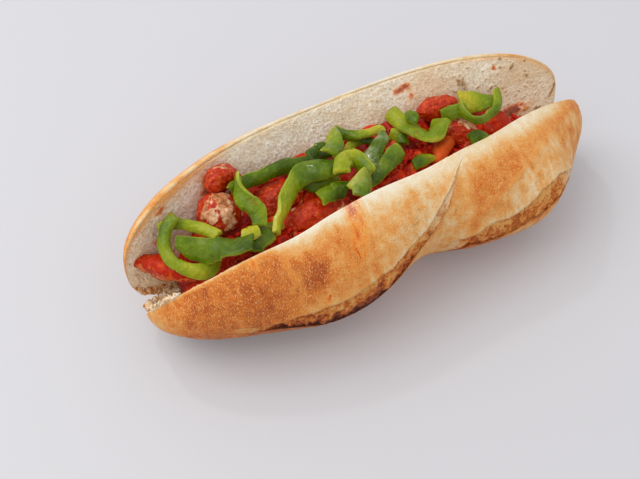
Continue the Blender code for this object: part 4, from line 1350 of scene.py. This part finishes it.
# %% Pepper finish
def pepper_finish():
    finish = Finish("green_pepper")
    fine = finish.grain(0.0008, 2.0)
    middle = finish.grain(0.0030, 4.0, 0.4)
    tone = finish.mark("green") + (middle - 0.5) * 0.34 + (fine - 0.5) * 0.12
    skin_green = finish.ramp(tone, (0.0, 24, 36, 2), (0.25, 52, 74, 3),
                             (0.45, 82, 106, 6), (0.62, 112, 132, 12),
                             (0.82, 154, 158, 26), (1.0, 184, 172, 44))
    flesh_green = finish.ramp(tone, (0.0, 66, 78, 4), (0.4, 124, 138, 20),
                              (0.7, 172, 174, 54), (1.0, 202, 190, 84))
    flesh = finish.between(finish.mark("flesh") + (fine - 0.5) * 0.4, 0.3, 0.8)
    colour = finish.mix(flesh * 0.8, skin_green, flesh_green)
    # Painted reflection: a pale grey-olive sheen mixed into the skin of some strips.
    colour = finish.mix(finish.mark("waxy") * finish.between(middle, 0.3, 0.6), colour,
                        screen(158, 166, 128))
    stain = finish.between(finish.mark("stain") + (fine - 0.5) * 0.6, 0.2, 0.8)
    colour = finish.mix(stain * 0.7, colour, screen(150, 44, 10))
    wet = finish.between(middle, 0.42, 0.62)
    beads = finish.grain(0.0011, 1.0) * (wet * 0.8 + 0.1)
    return finish.done(colour, wet * -0.12 + 0.22, middle * 0.6 + beads, 0.0005,
                       Specular_IOR_Level=0.13, Coat_Weight=0.17, Coat_Roughness=0.05)


PEPPER = pepper_finish()
for number, row in enumerate(STRIPS):
    build_strip(row, 1025 + 10 * number, PEPPER)


# %% [markdown]
# The two halves were never cut right through: along the floor a strip of bread still joins
# them. It is a long flattened tube that rises towards the tips. Where the knife and the
# pull of opening tore it at the left end, loose flakes of crumb and crust stand up.

# %% The hinge and its torn end
def hinge_middle(s):
    """The hinge's bend over the floor, and its rise to meet the faces near the tips."""
    rise = 0.8 * TOP["tip"] * (1.0 - taper(s, TOP["round"])) * FACE_WIDTH
    return xyz(s * HALF_LENGTH, hinge_bend(s), rise) + FROM_HINGE


def build_hinge(finish, count=260, around=40):
    s = np.linspace(-0.86, 0.84, count)
    across = round_angles(around)
    swell = np.clip(1.0 - np.abs((s + 0.01) / 0.855) ** 8, 0.02, 1.0)[:, None] ** 0.5
    rings = np.repeat(hinge_middle(s)[:, None, :], around, axis=1)
    rings[..., 1] += 0.012 * swell * np.cos(across)
    rings[..., 2] += 0.0072 * (0.95 + swell * np.sin(across))
    relief = rough(rings, 0.012, 151) * 0.5 + rough(rings, 0.004, 152) * 0.45
    rings[..., 1] += relief * MM * np.cos(across)
    rings[..., 2] += relief * MM * np.maximum(np.sin(across), 0.0)
    flat = np.zeros(rings.shape[:2])
    inner = held(np.sin(across) * 3.0) + flat
    body = skin(rings, {"bake": 0.50 + 0.2 * relief - 0.3 * inner, "dark": flat,
                        "torn": inner, "stain": 0.5 * inner})
    return show("hinge", body, finish, "baked_crust", "roll")


def build_flakes(name, place, size, seed, marks, finish, slot):
    """Torn bits: flattened balls of random shape at given places, each with its marks."""
    bodies = lump_rings(len(size), seed, (0.25, 1.3)) * size[:, None, None, None]
    body = many(bodies + place[:, None, None, :], marks)
    return show(name, body, finish, slot)


def along_edge(rng, count, half, ends, shares, spread):
    """Random places on a cut face near a tip, a little off the face."""
    s = rng.uniform(*ends, count)
    free, low = face_edges(half, s)[:2]
    share = rng.uniform(*shares, count)[:, None]
    return low + (free - low) * share + rng.normal(0.0, spread, (count, 3))


def torn_end(rng, count):
    """Bits across the gap between the two halves, lower towards the outside."""
    out = rng.uniform(0, 1, count) ** 0.8
    side = rng.uniform(0, 1, count)
    s = -0.80 - out * (0.135 + 0.05 * np.sin(5.0 * side + 0.6))
    near, far = face_edges(TOP, s)[1], face_edges(BOTTOM, s)[1]
    place = near + (far - near) * side[:, None] + rng.normal(0, 0.0004, (count, 3))
    place[:, 2] += 0.0050 * (1.0 - out) * np.sin(math.pi * side) + rng.uniform(-0.001, 0.001, count)
    return place


def build_torn_end(crumb, crust, seed=161):
    rng = np.random.default_rng(seed)
    in_gap, on_lip, crust_in_gap, crust_on_edge = 240, 130, 70, 170
    lip = along_edge(rng, on_lip, TOP, (-0.985, -0.885), (0.93, 1.0), 0.0006)
    lip = lip + np.array([0.0, 0.0004, 0.0010])
    pale = np.concatenate([torn_end(rng, in_gap), lip])
    size = np.concatenate([rng.uniform(0.0010, 0.0030, in_gap),
                           rng.uniform(0.0005, 0.0012, on_lip)])
    flat = 0.0 * size
    build_flakes("torn_crumb", pale, size, seed + 1, {
        "pore": flat, "tone": rng.uniform(-0.5, 0.5, size.size), "rim": rng.uniform(0, 0.5, size.size),
        "stain": flat, "golden": flat + 0.5}, crumb, "bread_crumb")
    baked = np.concatenate([torn_end(rng, crust_in_gap) + np.array([-0.002, 0.001, 0.0]),
                            along_edge(rng, crust_on_edge, BOTTOM, (-0.985, -0.83), (0.0, 0.10),
                                       0.0006)])
    size = rng.uniform(0.0006, 0.0018, len(baked))
    flat = 0.0 * size
    build_flakes("torn_crust", baked, size, seed + 2, {
        "bake": rng.uniform(0.05, 0.55, size.size), "torn": flat + 0.4, "dark": flat,
        "stain": flat}, crust, "baked_crust")


build_hinge(CRUST)
build_torn_end(CRUMB, CRUST)


# %% [markdown]
# A plain pale floor carries the shadow. It glows very faintly and warmly: a painted glow that lightens
# the shadows on it.

# %% Floor
FLOOR_HALF = 3.0
FLOOR_DROP = 0.0003

floor_mesh = bpy.data.meshes.new("floor")
corners = ((-1, -1), (1, -1), (1, 1), (-1, 1))
floor_mesh.from_pydata([(x * FLOOR_HALF, y * FLOOR_HALF, 0) for x, y in corners], [], [(0, 1, 2, 3)])
floor = bpy.data.objects.new("floor", floor_mesh)
floor.location.z = -FLOOR_DROP
bpy.context.scene.collection.objects.link(floor)
floor_finish = Finish("floor")
# Painted light: the floor's faint warm emission lifts its shadows.
floor.data.materials.append(floor_finish.done(
    screen(188, 188, 192), 0.55, Emission_Color=(1.0, 0.86, 0.78, 1.0), Emission_Strength=0.085))
